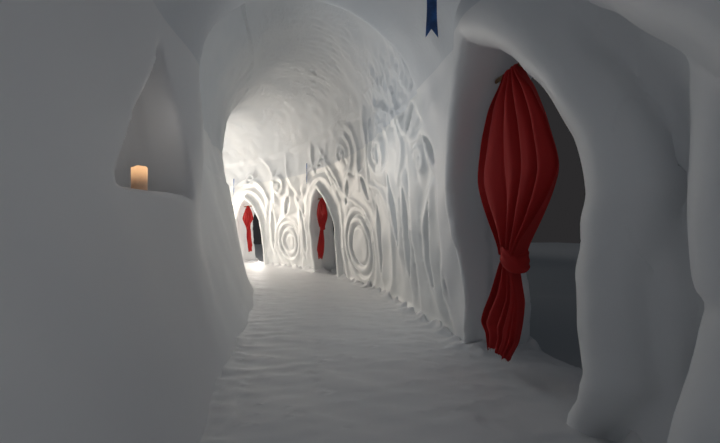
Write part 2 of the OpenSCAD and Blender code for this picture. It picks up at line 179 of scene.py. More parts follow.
class Finish:
    """The nodes of a procedural material, or of the world, written one by one."""

    def __init__(self, name, kind="materials", output="ShaderNodeOutputMaterial"):
        self.owner = getattr(bpy.data, kind).new(name)
        self.owner.use_nodes = True
        self.tree = self.owner.node_tree
        self.tree.nodes.clear()
        self.output = self.tree.nodes.new(output)

    def node(self, kind, settings=None, sockets=None, out=0):
        made = self.tree.nodes.new(kind)
        for key, value in (settings or {}).items():
            setattr(made, key, value)
        for key, value in (sockets or {}).items():
            socket = made.inputs[key]
            if isinstance(value, Wire):
                self.tree.links.new(value.socket, socket)
            elif socket.type == "RGBA":
                socket.default_value = (*value, 1.0)
            else:
                socket.default_value = value
        return Wire(self, made.outputs[out])

    def place(self):
        return self.node("ShaderNodeTexCoord", out="Object")

    def height(self, place):
        return self.node("ShaderNodeSeparateXYZ", None, {"Vector": place}, out="Z")

    def noise(self, place, scale, detail=2.0, rough=0.5, stretch=None):
        if stretch:
            place = self.node("ShaderNodeMapping", None, {"Vector": place, "Scale": stretch})
        return self.node(
            "ShaderNodeTexNoise", {"noise_dimensions": "3D"},
            {"Vector": place, "Scale": scale, "Detail": detail, "Roughness": rough})

    def bands(self, way, scale, distortion=0.0):
        """Threads of a cloth, over its own map."""
        cloth = self.node("ShaderNodeTexCoord", out="UV")
        return self.node("ShaderNodeTexWave", {"bands_direction": way, "wave_profile": "SIN"},
                         {"Vector": cloth, "Scale": scale, "Distortion": distortion})

    def mixed(self, share, first, second):
        return self.node("ShaderNodeMix", {"data_type": "RGBA"},
                         {0: share, 6: first, 7: second}, out=2)

    def bumps(self, *layers):
        """Relief of several layers, each its height, strength and distance."""
        normal = {}
        for height, strength, distance in layers:
            normal = {"Normal": self.node("ShaderNodeBump", None, {
                "Height": height, "Strength": strength, "Distance": distance, **normal})}
        return normal

    def shown(self, shader):
        self.tree.links.new(shader.socket, self.output.inputs["Surface"])
        return self.owner

    def surface(self, tone, rough, relief, shine=0.5, painted_glow=None):
        return self.shown(self.node("ShaderNodeBsdfPrincipled", None, {
            "Base Color": tone, "Roughness": rough, "Specular IOR Level": shine,
            **relief, **(painted_glow or {})}))

    def snow(self, colour, cloud, shades, marks, grain, rough=0.62, shine=0.3):
        """A clouded tone with darker shades on it, and fine grain over the marks."""
        tone = self.mixed(*cloud, colour)
        for share, factor in shades:
            tone = self.mixed(share, tone, tinted(colour, factor))
        return self.surface(tone, rough + grain[0] * 0.2, self.bumps(*marks, grain), shine)


def frame_or_own(name, make, colour):
    """The frame's plain material of that name where it has one, and else our own."""
    return bpy.data.materials.get(name) or make(colour)


def tinted(colour, factor, shift=(0.0, 0.0, 0.0)):
    return tuple(min(1.0, max(0.0, c * factor + d)) for c, d in zip(colour, shift))


COOL = (-0.01, 0, 0.012)
FLAT_CHISEL = (1.0, 1.0, 0.45)


def smooth_snow(colour):
    look = Finish("snow_smooth")
    place = look.place()
    cloud = look.noise(place, 0.9, 3.0).between(0.35, 0.7)
    pits = look.noise(place, 38.0, 4.0, 0.65)
    swipes = look.noise(place, 2.2, 3.0, stretch=(5.0, 1.2, 9.0))
    return look.snow(
        colour, (cloud, tinted(colour, 0.94, COOL)),
        [(pits.between(0.52, 0.75) * 0.22, 0.82)],
        [(swipes, 0.18, 0.02), (pits, 0.35, 0.006)],
        (look.noise(place, 140.0, 2.0, 0.7), 0.35, 0.0022))


def chipped_snow(colour):
    look = Finish("snow_vault")
    place = look.place()
    cloud = look.noise(place, 0.9, 3.0).between(0.35, 0.7)
    # Chiselled like the wall low down, chipped in patches higher up
    high = look.height(place).between(2.9, 3.4)
    patch = look.noise(place, 0.75).between(0.44, 0.56) * high
    chisel = look.noise(place, 24.0, 4.0, 0.6, stretch=FLAT_CHISEL)
    chips = look.noise(place, 4.2, 5.0, 0.62, stretch=(3.4, 1.5, 3.4)).between(0.38, 0.62)
    scales = look.noise(place, 13.0, 3.0, 0.6, stretch=(3.0, 1.0, 3.0))
    return look.snow(
        colour, (cloud, tinted(colour, 0.94, COOL)),
        [(scales.between(0.5, 0.7) * patch * 0.15, 0.88)],
        [(chisel * (1 - high), 0.5, 0.012), (chips * patch, 0.5, 0.009),
         (scales * patch, 0.5, 0.0035)],
        (look.noise(place, 140.0, 2.0, 0.7), 0.35, 0.0022))


def carved_snow(colour):
    look = Finish("snow_carved")
    place = look.place()
    cloud = look.noise(place, 1.3, 3.0).between(0.35, 0.7)
    chisel = look.noise(place, 24.0, 4.0, 0.6, stretch=FLAT_CHISEL)
    return look.snow(
        colour, (cloud, tinted(colour, 0.94, (-0.008, 0, 0.01))),
        [(chisel.between(0.5, 0.72) * 0.25, 0.84)], [(chisel, 0.5, 0.012)],
        (look.noise(place, 120.0, 2.0, 0.7), 0.35, 0.0025))


def trodden_snow(colour):
    look = Finish("snow_floor")
    place = look.place()
    cloud = look.noise(place, 1.1, 4.0, 0.6).between(0.3, 0.7)
    crumbs = look.noise(place, 30.0, 5.0, 0.65)
    steps = look.noise(place, 6.0, 3.0, 0.55)
    return look.snow(
        colour, (cloud, tinted(colour, 0.88)),
        [(steps.between(0.45, 0.62) * 0.35, 0.86), (crumbs.between(0.55, 0.7) * 0.3, 0.78)],
        [(steps, 0.3, 0.012), (crumbs, 0.4, 0.006)],
        (look.noise(place, 160.0, 2.0, 0.75), 0.4, 0.003), rough=0.68, shine=0.25)


def red_cloth(colour):
    look = Finish("red_cloth")
    threads = look.bands("X", 190.0, 0.4) * 0.5 + look.bands("Y", 190.0, 0.4) * 0.5
    place = look.place()
    fade = look.noise(place, 3.0, 3.0).between(0.3, 0.75)
    tone = look.mixed(fade, tinted(colour, 0.72), colour)
    tone = look.mixed(threads * 0.25, tone, tinted(colour, 0.6))
    creases = look.noise(place, 26.0, 3.0, stretch=(1.0, 1.0, 0.25))
    return look.surface(tone, 0.78 + threads * 0.15,
                        look.bumps((creases, 0.25, 0.006), (threads, 0.25, 0.0008)), 0.02)


def hem_thread():
    look = Finish("hem_thread")
    fuzz = look.noise(look.place(), 240.0)
    tone = look.mixed(fuzz, (0.55, 0.42, 0.36), (0.75, 0.66, 0.58))
    return look.surface(tone, 0.85, look.bumps((fuzz, 0.3, 0.0004)))


def ribbon_cloth(colour):
    look = Finish("blue_ribbon")
    ribs = look.bands("Y", 60.0)
    fade = look.noise(look.place(), 14.0, 3.0).between(0.35, 0.7)
    tone = look.mixed(fade, tinted(colour, 0.6), tinted(colour, 1.3))
    tone = look.mixed(ribs * 0.25, tone, tinted(colour, 0.7))
    return look.surface(tone, 0.35 + ribs * 0.1, look.bumps((ribs, 0.3, 0.0006)))


def candle_wax(colour, low, high):
    look = Finish("candle_wax")
    place = look.place()
    # Painted glow: the upper part of the wax gives off warm light of its own, standing in for the
    # light of a flame, though the candle is no lamp
    painted_glow = look.height(place).between(low + (high - low) * 0.15, high)
    mottle = look.noise(place, 60.0, 3.0)
    tone = look.mixed(mottle.between(0.3, 0.7), tinted(colour, 0.9), colour)
    painted_glow_colour = look.mixed(painted_glow, (0.05, 0.02, 0.01), (1.0, 0.55, 0.26))
    return look.surface(tone, 0.45 + mottle * 0.1, look.bumps((mottle, 0.3, 0.002)),
                        painted_glow={"Emission Color": painted_glow_colour, "Emission Strength": 0.95})


def charred_wick():
    look = Finish("wick")
    soot = look.noise(look.place(), 300.0)
    tone = look.mixed(soot, (0.02, 0.015, 0.012), (0.09, 0.07, 0.05))
    return look.surface(tone, 0.9, look.bumps((soot, 0.5, 0.0006)))


def rod_wood(colour):
    look = Finish("rod_wood")
    place = look.place()
    rings = look.noise(place, 3.0, 4.0, stretch=(18.0, 18.0, 90.0))
    knots = look.noise(place, 9.0).between(0.6, 0.75)
    tone = look.mixed(rings.between(0.3, 0.7), tinted(colour, 0.55), tinted(colour, 1.25))
    tone = look.mixed(knots * 0.5, tone, tinted(colour, 0.5))
    return look.surface(tone, 0.55 + rings * 0.2, look.bumps((rings, 0.35, 0.0015)))


# places

def to_frame(points):
    """Moves points (across, along, up) of the passage to the frame, round the bend."""
    across, along, up = points[:, 0], points[:, 1], points[:, 2]
    turn = np.clip((along - STRAIGHT) / BEND_R, 0.0, None)
    ahead = np.minimum(along, STRAIGHT)
    r = BEND_R + across
    x = -BEND_R + r * np.cos(turn)
    y = ahead + r * np.sin(turn)
    return np.stack([x + ORIGIN_X, y + ORIGIN_Y, up + ORIGIN_Z], axis=1)


class Doorway:
    """A pointed doorway in the right wall: its place, its size and its curtain's rod."""

    def __init__(self, number, width, spring, roll_r):
        self.rod = "curtain_rod_%d" % number
        low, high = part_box(self.rod)
        x = (low.x + high.x) / 2 - ORIGIN_X
        y = (low.y + high.y) / 2 - ORIGIN_Y
        self.rod_up = (low.z + high.z) / 2 - ORIGIN_Z
        self.bent = y > STRAIGHT
        if self.bent:
            self.along = STRAIGHT + BEND_R * math.atan2(y - STRAIGHT, x + BEND_R)
            self.rod_out = math.hypot(x + BEND_R, y - STRAIGHT) - BEND_R - HALF_W
        else:
            self.along = y
            self.rod_out = x - HALF_W
        self.turn = max(0.0, (self.along - STRAIGHT) / BEND_R)
        self.width = width
        self.spring = spring
        self.roll_r = roll_r

    def side(self, across, along):
        """Distance from the doorway's middle, along the wall."""
        if self.bent:
            return (BEND_R + across) * np.sin((along - self.along) / BEND_R)
        return along - self.along

    def arch(self, side, up):
        """Distance out of the arched opening, in the plane of the wall."""
        above = np.maximum(up - self.spring, 0.0)
        half = self.width / 2
        return np.sqrt((np.abs(side) + half) ** 2 + above ** 2) - self.width

    def to_frame(self, points):
        """Moves points (along the wall, out of the passage, up) to the frame."""
        side, out, up = points[:, 0], points[:, 1], points[:, 2]
        if self.bent:
            r = BEND_R + HALF_W + out
            x = -BEND_R + r * math.cos(self.turn) - side * math.sin(self.turn)
            y = STRAIGHT + r * math.sin(self.turn) + side * math.cos(self.turn)
        else:
            x, y = HALF_W + out, self.along + side
        return np.stack([x + ORIGIN_X, y + ORIGIN_Y, up + ORIGIN_Z], axis=1)


DOORS = [Doorway(1, 1.70, 0.97, 0.17), Doorway(2, 1.30, 0.93, 0.08), Doorway(3, 1.30, 0.93, 0.08)]


def soft_min(a, b, k):
    h = np.clip(0.5 + 0.5 * (b - a) / k, 0.0, 1.0)
    return b + (a - b) * h - k * h * (1.0 - h)


def soft_max(a, b, k):
    return -soft_min(-a, -b, k)


def step(low, high, value):
    t = np.clip((value - low) / (high - low), 0.0, 1.0)
    return t * t * (3.0 - 2.0 * t)


def faded(*edges):
    """Product of steps, each with its two places and its value."""
    share = 1.0
    for low, high, value in edges:
        share = share * step(low, high, value)
    return share


class Swell:
    """Smooth, repeatable unevenness: plane waves of about one length, seeded."""

    WAVES = 12

    def __init__(self, seed, length, stretch=(1.0, 1.0, 1.0)):
        rng = np.random.default_rng(seed)
        way = rng.normal(size=(self.WAVES, 3))
        way /= np.linalg.norm(way, axis=1)[:, None]
        pace = 2 * math.pi / (length * rng.uniform(0.65, 1.6, self.WAVES))
        self.way = way * pace[:, None] / np.array(stretch)
        self.start = rng.uniform(0, 2 * math.pi, self.WAVES)
        self.gain = 1.0 / math.sqrt(self.WAVES / 2)

    def __call__(self, points):
        total = np.zeros(len(points))
        for way, start in zip(self.way, self.start):
            total += np.sin(points @ way + start)
        return total * self.gain


# carving

GROOVE = 0.07
BROAD = 1.2
MEDALLION = (6.62, 2.28)
NEAR_DISC, NEAR_DISC_R = (8.236, 0.80), 0.64
FAR_DISC, FAR_DISC_R = (12.041, 0.76), 0.48
# Top edge of the carving: places along the wall, and its height there
CARVED_TOP = ([4.3, 4.7, 5.4, 6.5, 9.0, 17.0], [2.0, 2.45, 3.05, 3.25, 3.3, 3.3])


class Carving:
    """Carved forms on the unrolled right wall, (along, up): crests, hollows and rings."""

    def __init__(self, along, up):
        self.along, self.up = np.meshgrid(along, up, indexing="ij")
        self.crest = np.full(self.along.shape, 9.0)
        self.sharp = np.zeros(self.along.shape)
        self.hollow = np.zeros(self.along.shape)

    def line(self, points, width=1.0):
        """A crest along a line, sharp on its right side and gentle on its left one."""
        points = np.asarray(points, float)
        low, high = points.min(axis=0) - 0.7, points.max(axis=0) + 0.7
        near = ((self.along > low[0]) & (self.along < high[0])
                & (self.up > low[1]) & (self.up < high[1]))
        a, z = self.along[near], self.up[near]
        away, sharp = self.crest[near], self.sharp[near]
        for (a0, z0), (a1, z1) in zip(points[:-1], points[1:]):
            da, dz = a1 - a0, z1 - z0
            size = da * da + dz * dz + 1e-12
            t = np.clip(((a - a0) * da + (z - z0) * dz) / size, 0, 1)
            distance = np.hypot(a - a0 - t * da, z - z0 - t * dz) / width
            side = ((a - a0) * dz - (z - z0) * da) / math.sqrt(size)
            sharp = np.where(distance < away, step(-0.03, 0.03, side), sharp)
            away = np.minimum(away, distance)
        self.crest[near], self.sharp[near] = away, sharp

    def wave(self, first, last, bow, swing=0.0):
        """A crest from first to last that bows sideways, with a second swing on it."""
        first, last = np.array(first), np.array(last)
        t = np.linspace(0, 1, 20)[:, None]
        side = np.array([-(last - first)[1], (last - first)[0]])
        self.line(first + (last - first) * t
                  + side * (bow * np.sin(math.pi * t) + swing * np.sin(2 * math.pi * t)))

    def sweep(self, stops, width=1.0):
        """A crest that runs smoothly through the stops."""
        stops = np.asarray(stops, float)
        full = np.concatenate([2 * stops[:1] - stops[1:2], stops, 2 * stops[-1:] - stops[-2:-1]])
        t = np.linspace(0, 1, 7)[:-1, None]
        curve = []
        for a, b, c, d in zip(full, full[1:], full[2:], full[3:]):
            curve.append(b + 0.5 * t * (c - a + t * (2 * a - 5 * b + 4 * c - d
                                                     + t * (3 * b - a - 3 * c + d))))
        self.line(np.concatenate(curve + [stops[-1:]]), width)

    def round(self, middle, r, angle, width=1.0, squash=1.0):
        """A crest round a middle, through the distances and angles."""
        self.line(np.stack([middle[0] + r * np.cos(angle),
                            middle[1] + r * squash * np.sin(angle)], axis=1), width)

    def arc(self, middle, radius, low, high, width=1.0, squash=1.0):
        self.round(middle, radius, np.radians(np.linspace(low, high, 26)), width, squash)

    def scroll(self, middle, size, turns, start, way=1):
        t = np.linspace(0, 1, int(18 * turns) + 6)
        self.round(middle, size * (1 - t) ** 0.8 + 0.02,
                   math.radians(start) + way * t * turns * 2 * math.pi)

    def leaf(self, middle, length, width, tilt, bow=0.0):
        """A lens-shaped hollow with a crest round it, upright but for its tilt and bow."""
        turn = math.radians(tilt)
        a, z = self.along - middle[0], self.up - middle[1]
        v = -a * math.sin(turn) + z * math.cos(turn)
        u = a * math.cos(turn) + z * math.sin(turn)
        share = 1 - np.clip(np.abs(2 * v / length), 0, 1) ** 2
        inside = 1 - np.abs(2 * (u - bow * share) / width) / np.maximum(share, 1e-3)
        self.hollow = np.maximum(self.hollow, step(0.0, 0.75, inside) * (share > 0))
        t = np.linspace(-1, 1, 21)
        for side in (-1, 1):
            across = (side * 0.5 * (width + 0.05) + bow) * (1 - t ** 2)
            up = 0.5 * (length + 0.10) * t
            self.line(np.stack([middle[0] + across * math.cos(turn) - up * math.sin(turn),
                                middle[1] + across * math.sin(turn) + up * math.cos(turn)], axis=1))

    def disc(self, middle, radius):
        """A disc with two ring grooves and a domed middle."""
        r = np.hypot(self.along - middle[0], self.up - middle[1])
        for ring in (radius, radius - 3 * GROOVE):
            self.hollow = np.maximum(
                self.hollow, np.exp(-((r - ring + GROOVE / 2) / (0.8 * GROOVE)) ** 2))
            self.arc(middle, ring + 0.06, 0, 360)
        self.arc(middle, radius - 1.7 * GROOVE, 0, 360)

    def depth(self, full):
        reach = 0.15 - 0.09 * self.sharp
        ground = 0.66 * (1 - np.exp(-(self.crest / reach) ** 1.3))
        pockets = self.hollow * (1 - np.exp(-(self.crest / 0.05) ** 2))
        return full * np.maximum(ground, pockets)


def carve(along, up, full):
    """Depth of the carving over the unrolled wall."""
    work = Carving(along, up)
    # Beside the near doorway: a smooth tall panel with one low hollow, edged by a crescent
    work.leaf((4.47, 0.52), 0.34, 0.12, 4)
    work.leaf((4.66, 0.88), 1.25, 0.17, 8, bow=0.26)
    work.sweep([(5.42, -0.1), (5.34, 0.6), (5.36, 1.2), (5.24, 1.75), (5.18, 2.15)], BROAD)
    work.leaf((4.46, 1.92), 0.48, 0.16, -35)
    work.scroll((4.86, 1.86), 0.15, 1.0, 60)
    # Two tall leaves, and the sweeping edges over them
    work.leaf((5.60, 1.05), 1.30, 0.24, 6)
    work.leaf((6.12, 1.38), 1.15, 0.26, -8)
    work.sweep([(7.30, 1.88), (6.75, 1.70), (6.38, 1.35), (6.42, 0.75), (6.66, 0.25),
                (7.05, -0.05)], BROAD)
    # Lobes that climb onto the vault
    work.sweep([(5.75, 3.0), (5.55, 2.60), (5.18, 2.28), (4.86, 2.12), (4.58, 2.18),
                (4.35, 2.0)], BROAD)
    work.leaf((4.98, 2.42), 0.42, 0.18, 40)
    work.sweep([(6.60, 2.85), (6.05, 2.78), (5.55, 2.48), (5.40, 2.10), (5.70, 1.80)])
    work.sweep([(7.05, 2.80), (7.10, 2.30), (6.78, 1.98), (6.20, 2.02), (5.95, 2.30),
                (6.20, 2.60)], BROAD)
    work.leaf(MEDALLION, 0.34, 0.16, 10)
    work.arc(MEDALLION, 0.26, 20, 300)
    work.sweep([(6.95, 3.30), (7.32, 2.95), (7.24, 2.45), (7.34, 1.95), (7.25, 1.60)], BROAD)
    work.sweep([(6.30, 3.25), (6.58, 3.02), (6.12, 2.78), (6.55, 2.62)])
    # A low disc with rings, and the waves that wrap it
    work.leaf((7.095, 0.95), 1.25, 0.28, 8)
    work.disc(NEAR_DISC, NEAR_DISC_R)
    work.sweep([(9.40, 2.35), (8.95, 1.92), (8.30, 1.66), (7.72, 1.42), (7.42, 0.95),
                (7.45, 0.40), (7.72, -0.05)], BROAD)
    work.leaf((7.589, 1.85), 0.56, 0.22, -35)
    work.leaf((8.617, 1.88), 0.62, 0.23, 30)
    work.sweep([(8.95, 3.30), (8.30, 3.20), (7.92, 2.82), (7.80, 2.40), (7.86, 2.05)], BROAD)
    work.sweep([(8.45, 3.02), (8.22, 2.72), (8.25, 2.38), (8.60, 2.25)])
    work.scroll((8.78, 2.66), 0.24, 1.2, 200, -1)
    work.sweep([(9.85, 2.95), (9.42, 2.30), (9.12, 1.65), (9.12, 0.90), (9.00, -0.1)])
    work.sweep([(10.20, 3.40), (10.42, 2.95), (10.35, 2.62)])
    # Round the far doorways
    for door in DOORS[1:]:
        work.arc((door.along, 1.25), 0.98, 15, 165, BROAD, 1.15)
        work.arc((door.along, 1.35), 1.25, 35, 150, 1.0, 1.10)
        work.leaf((door.along - 0.15, 2.72), 0.36, 0.18, 60)
    # Between the far doorways: a smaller disc between leaves
    work.disc(FAR_DISC, FAR_DISC_R)
    work.arc(FAR_DISC, 0.70, -70, 210)
    work.leaf((11.242, 1.10), 1.30, 0.26, -5)
    work.leaf((12.802, 1.15), 1.25, 0.26, 6)
    work.leaf((11.965, 1.80), 0.62, 0.23, 28)
    work.wave((11.52, -0.1), (11.45, 2.0), 0.10)
    work.wave((11.30, 2.0), (11.75, 3.2), -0.20, 0.05)
    work.scroll((12.35, 2.35), 0.32, 1.3, 30)
    work.wave((12.62, 1.95), (12.95, 3.2), 0.16)
    work.wave((13.12, -0.1), (12.98, 2.0), -0.08)
    # Last stretch: leaves and waves
    work.leaf((15.10, 1.05), 1.30, 0.26, 5)
    work.leaf((15.75, 1.25), 1.20, 0.26, -6)
    work.wave((15.42, -0.1), (15.45, 2.2), 0.10)
    work.wave((15.20, 2.1), (15.60, 3.1), 0.2)
    depth = work.depth(full)
    a, z = work.along, work.up
    depth *= 1 + 0.35 * step(1.8, 2.3, z)
    # Ends of the carving: over the vault, beside the near doorway and at the floor
    top = np.interp(a, *CARVED_TOP)
    depth *= faded((0.0, 0.16, top - z), (4.22, 4.38, a), (-0.02, 0.10, z))
    for door in DOORS:
        away = door.arch((a - door.along) * (1.1 if door.bent else 1.0), z)
        depth *= step(2 * door.roll_r - 0.02, 2 * door.roll_r + 0.14, away)
    return depth


# snow

# How far the edge of the near doorway stands into its opening, (heights, moves)
NEAR_EDGE = ([-0.15, 0.0, 0.14, 0.36, 0.60, 0.88, 1.26, 1.55, 2.1],
             [0.33, 0.30, 0.22, 0.07, 0.09, 0.06, -0.10, -0.13, -0.02])
FAR_EDGE = ([0.0, 0.12, 0.45, 0.75, 1.30, 1.90, 2.30],
            [0.0, 0.05, 0.17, 0.20, 0.12, 0.08, 0.0])
# Rounded bars of the near pier and its door head: both ends and a radius
COLUMN = ((0.915, 1.625, 0.94), (0.915, 1.625, 2.00), 0.155)
SWAG = ((0.8175, 1.98, 2.25), (0.8175, 1.333, 1.625), 0.22)
BANK = ((0.97, 1.58, 0.74), (0.97, 1.84, -0.10), 0.22)
BOSS = ((1.03, 3.32, 2.275), (1.03, 3.52, 2.275), 0.055)
RECESS_DEPTH = 0.085
# Swelling of the left wall before the lip: depth, place and length
LIP_SWELL, LIP_SWELL_AT, LIP_SWELL_LEN = 0.09, 3.75, 0.45
# Spread of the left wall's foot over the floor: depth and height
FOOT_SPREAD, FOOT_SPREAD_H = 0.10, 0.22

NICHE_W, NICHE_H, NICHE_DEPTH = 1.16, 0.86, 0.38
CANDLE_LOW, CANDLE_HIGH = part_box("candle")
NICHE_SILL = CANDLE_LOW.z - ORIGIN_Z
NICHE_AT = (CANDLE_LOW.y + CANDLE_HIGH.y) / 2 - ORIGIN_Y + NICHE_W / 18


def hewn(door, side, up):
    """How far the edge of a doorway was left to stand into its opening."""
    if door.bent:
        return 0.012 * np.sin(9 * up + 4 * side + door.along)
    edge = (np.interp(up, *NEAR_EDGE) * step(0.0, -0.3, side)
            + np.interp(up, *FAR_EDGE) * step(0.0, 0.3, side))
    return edge + 0.007 * np.sin(17 * up + 2.0 * np.sin(6 * up)) * step(2.3, 2.0, up)


def section_out(across, up, left, right, crown):
    """Distance out of a section: walls up to their height, and a vault over them."""
    middle = (left + right) / 2
    half = (right - left) / 2
    rise = crown - WALL_H
    u = np.abs(across - middle) / half + 1e-4
    v = np.maximum(up - WALL_H, 0.0) / rise + 1e-6
    q = (u ** VAULT_POWER + v ** VAULT_POWER) ** (1 / VAULT_POWER)
    slope = np.sqrt(((u / q) ** (VAULT_POWER - 1) / half) ** 2
                    + ((v / q) ** (VAULT_POWER - 1) / rise) ** 2)
    return (q - 1.0) / slope


def passage_out(across, up, lean, crown):
    """Distance out of the clear space of the passage."""
    low = np.clip(up, 0.0, WALL_H)
    return section_out(across, up, -HALF_W - lean * low, HALF_W - RIGHT_LEAN * low, crown)


def hull_out(across, up, crown):
    """Distance out of the outer face of the snow."""
    share = np.clip((up + FLOOR_T) / (WALL_H + FLOOR_T), 0.0, 1.0)
    left = -(HALF_W + LEFT_LEAN * WALL_H + SPRING_T) - 0.10 * (1 - share)
    right = (HALF_W + FOOT_T) * (1 - share) + (HALF_W - RIGHT_LEAN * WALL_H + SPRING_T) * share
    return section_out(across, up, left, right, crown + CROWN_T)


def capsule(place, first, last, radius):
    """Distance from a rounded bar between two points."""
    axis = [b - a for a, b in zip(first, last)]
    away = [p - a for p, a in zip(place, first)]
    t = np.clip(sum(d * c for d, c in zip(away, axis)) / sum(c * c for c in axis), 0.0, 1.0)
    return np.sqrt(sum((d - t * c) ** 2 for d, c in zip(away, axis))) - radius


def niche_out(across, along, up):
    """Distance out of the three-cornered niche in the left wall."""
    back = -HALF_W - NEAR_LEAN * NICHE_SILL - NICHE_DEPTH
    tip = (NICHE_AT + NICHE_W / 12, NICHE_SILL + NICHE_H)
    out = NICHE_SILL - up
    for foot, way in ((NICHE_AT - NICHE_W / 2, -1), (NICHE_AT + NICHE_W / 2, 1)):
        da, dz = tip[0] - foot, tip[1] - NICHE_SILL
        size = math.hypot(da, dz)
        out = np.maximum(out, way * ((along - foot) * dz - (up - NICHE_SILL) * da) / size)
    return np.maximum(np.maximum(out, back - across), across + 0.6)


def between_ends(solid, along, up):
    """The snow over its underside and between its two plain ends."""
    for out in (-(up + FLOOR_T), -along, along - LENGTH):
        solid = np.maximum(solid, out)
    return solid


def snow(across, along, up, sizes):
    """Distance out of the snow of walls and vault; it is below zero in the snow."""
    # The near vault's lip runs askew over the passage and drags back on the left
    share = (across + HALF_W) / PASSAGE_W
    edge = NEAR_LEN + NEAR_SKEW * np.clip(share, -0.3, 1.3) + 0.22 * step(-0.5, -1.1, across)
    opening = step(-0.25, 0.75, (along - edge) / sizes.lip)
    outer_opening = step(-1.1, 1.1, (along - edge) / 0.5)
    high_up = step(0.9, 1.9, up)
    right_side = step(0.1, 0.3, across)
    lean = NEAR_LEAN + (LEFT_LEAN - NEAR_LEAN) * (
        high_up * opening + (1 - high_up) * step(3.0, 5.6, along))
    clear = passage_out(across, up, lean, NEAR_CROWN + (MAIN_CROWN - NEAR_CROWN) * opening)
    outer = hull_out(across, up, NEAR_CROWN + (MAIN_CROWN - NEAR_CROWN) * outer_opening)
    depth = carve(along.ravel(), up.ravel(), sizes.relief)[None, :, :]
    clear = clear - depth * right_side
    # Recess between the near doorway's moulding and the column
    side = DOORS[0].side(across, along)
    away = DOORS[0].arch(side, up)
    recess = faded((0.34, 0.44, away), (0.70, 0.52, away), (0.0, -0.4, side))
    clear = clear - RECESS_DEPTH * recess * right_side
    # The left wall swells before the lip, and its foot spreads over the floor
    clear = clear + (LIP_SWELL * np.exp(-((along - LIP_SWELL_AT) / LIP_SWELL_LEN) ** 2) * high_up
                     * step(-0.5, -1.0, across) * (1 - opening))
    clear = clear + (FOOT_SPREAD * np.exp(-np.maximum(up, 0.0) / FOOT_SPREAD_H)
                     * step(-0.3, -0.7, across))
    solid = soft_max(outer, -clear, 0.03)
    # Rolled mouldings; the near one is thinner towards the far end and at its near foot
    face = HALF_W - RIGHT_LEAN * np.clip(up, 0.0, WALL_H + 0.5)
    for door in DOORS:
        side = door.side(across, along)
        away = door.arch(side, up) + hewn(door, side, up)
        r = door.roll_r
        if not door.bent:
            r = (r - 0.10 * step(-0.2, 0.5, side)
                 - 0.06 * step(0.45, 0.0, up) * step(0.5, -0.2, side))
        ring = np.sqrt((away - r) ** 2 + (across - face) ** 2) - r
        solid = np.where(np.abs(side) < door.width, soft_min(solid, ring, 0.05), solid)
    # Column, swag and bank of the near pier, and the boss on the door head
    column, swag, bank, boss = (
        capsule((across, along, up), *bar) for bar in (COLUMN, SWAG, BANK, BOSS))
    solid = soft_min(solid, soft_min(column, swag, 0.03), 0.018)
    solid = soft_min(solid, bank, 0.02)
    solid = soft_min(solid, boss, 0.05)
    for door in DOORS:
        side = door.side(across, along)
        hole = np.maximum(door.arch(side, up) + hewn(door, side, up), 0.25 - across)
        solid = soft_max(solid, -hole, 0.05 if door.bent else 0.03)
    solid = soft_max(solid, -niche_out(across, along, up), 0.025)
    return between_ends(solid, along, up)


def floor_snow(across, along, up, sizes):
    """Distance out of the trodden floor and the sills of the doorways."""
    level = np.broadcast_arrays(across[:, :, 0], along[:, :, 0], 0.0 * along[:, :, 0])
    points = np.stack(level, axis=-1)
    flat = points.reshape(-1, 3)
    tread = 0.004 * Swell(5, 0.55)(flat) + 0.0035 * Swell(6, 0.13)(flat) - 0.004
    tread -= 0.007 * step(0.9, 1.5, Swell(7, 0.30)(flat))
    # Loose snow heaped along the walls, but not in the doorways
    a = flat[:, 0]
    wall = HALF_W - np.abs(a)
    lumpy = 0.3 + 0.4 * step(0.0, 0.5, a)
    heap = 0.06 * np.exp(-np.maximum(wall, 0.0) / 0.08) * np.clip(
        1 + lumpy * Swell(8, 0.2)(flat), 0.1, 3.0)
    wide = np.abs(across) - (HALF_W + 0.045)
    for door in DOORS:
        half = door.width / 2
        gap = np.abs(door.side(a, flat[:, 1]))
        heap = heap * (1 - faded((half - 0.05, half - 0.25, gap), (0.2, 0.4, a)))
        sill = np.maximum(np.abs(door.side(across, along)) - (half + 0.03),
                          across - (HALF_W + FOOT_T))
        wide = np.minimum(wide, np.maximum(sill, -across))
    height = (tread + heap).reshape(points.shape[:2])[:, :, None]
    return between_ends(np.maximum(wide, up - height), along, up)


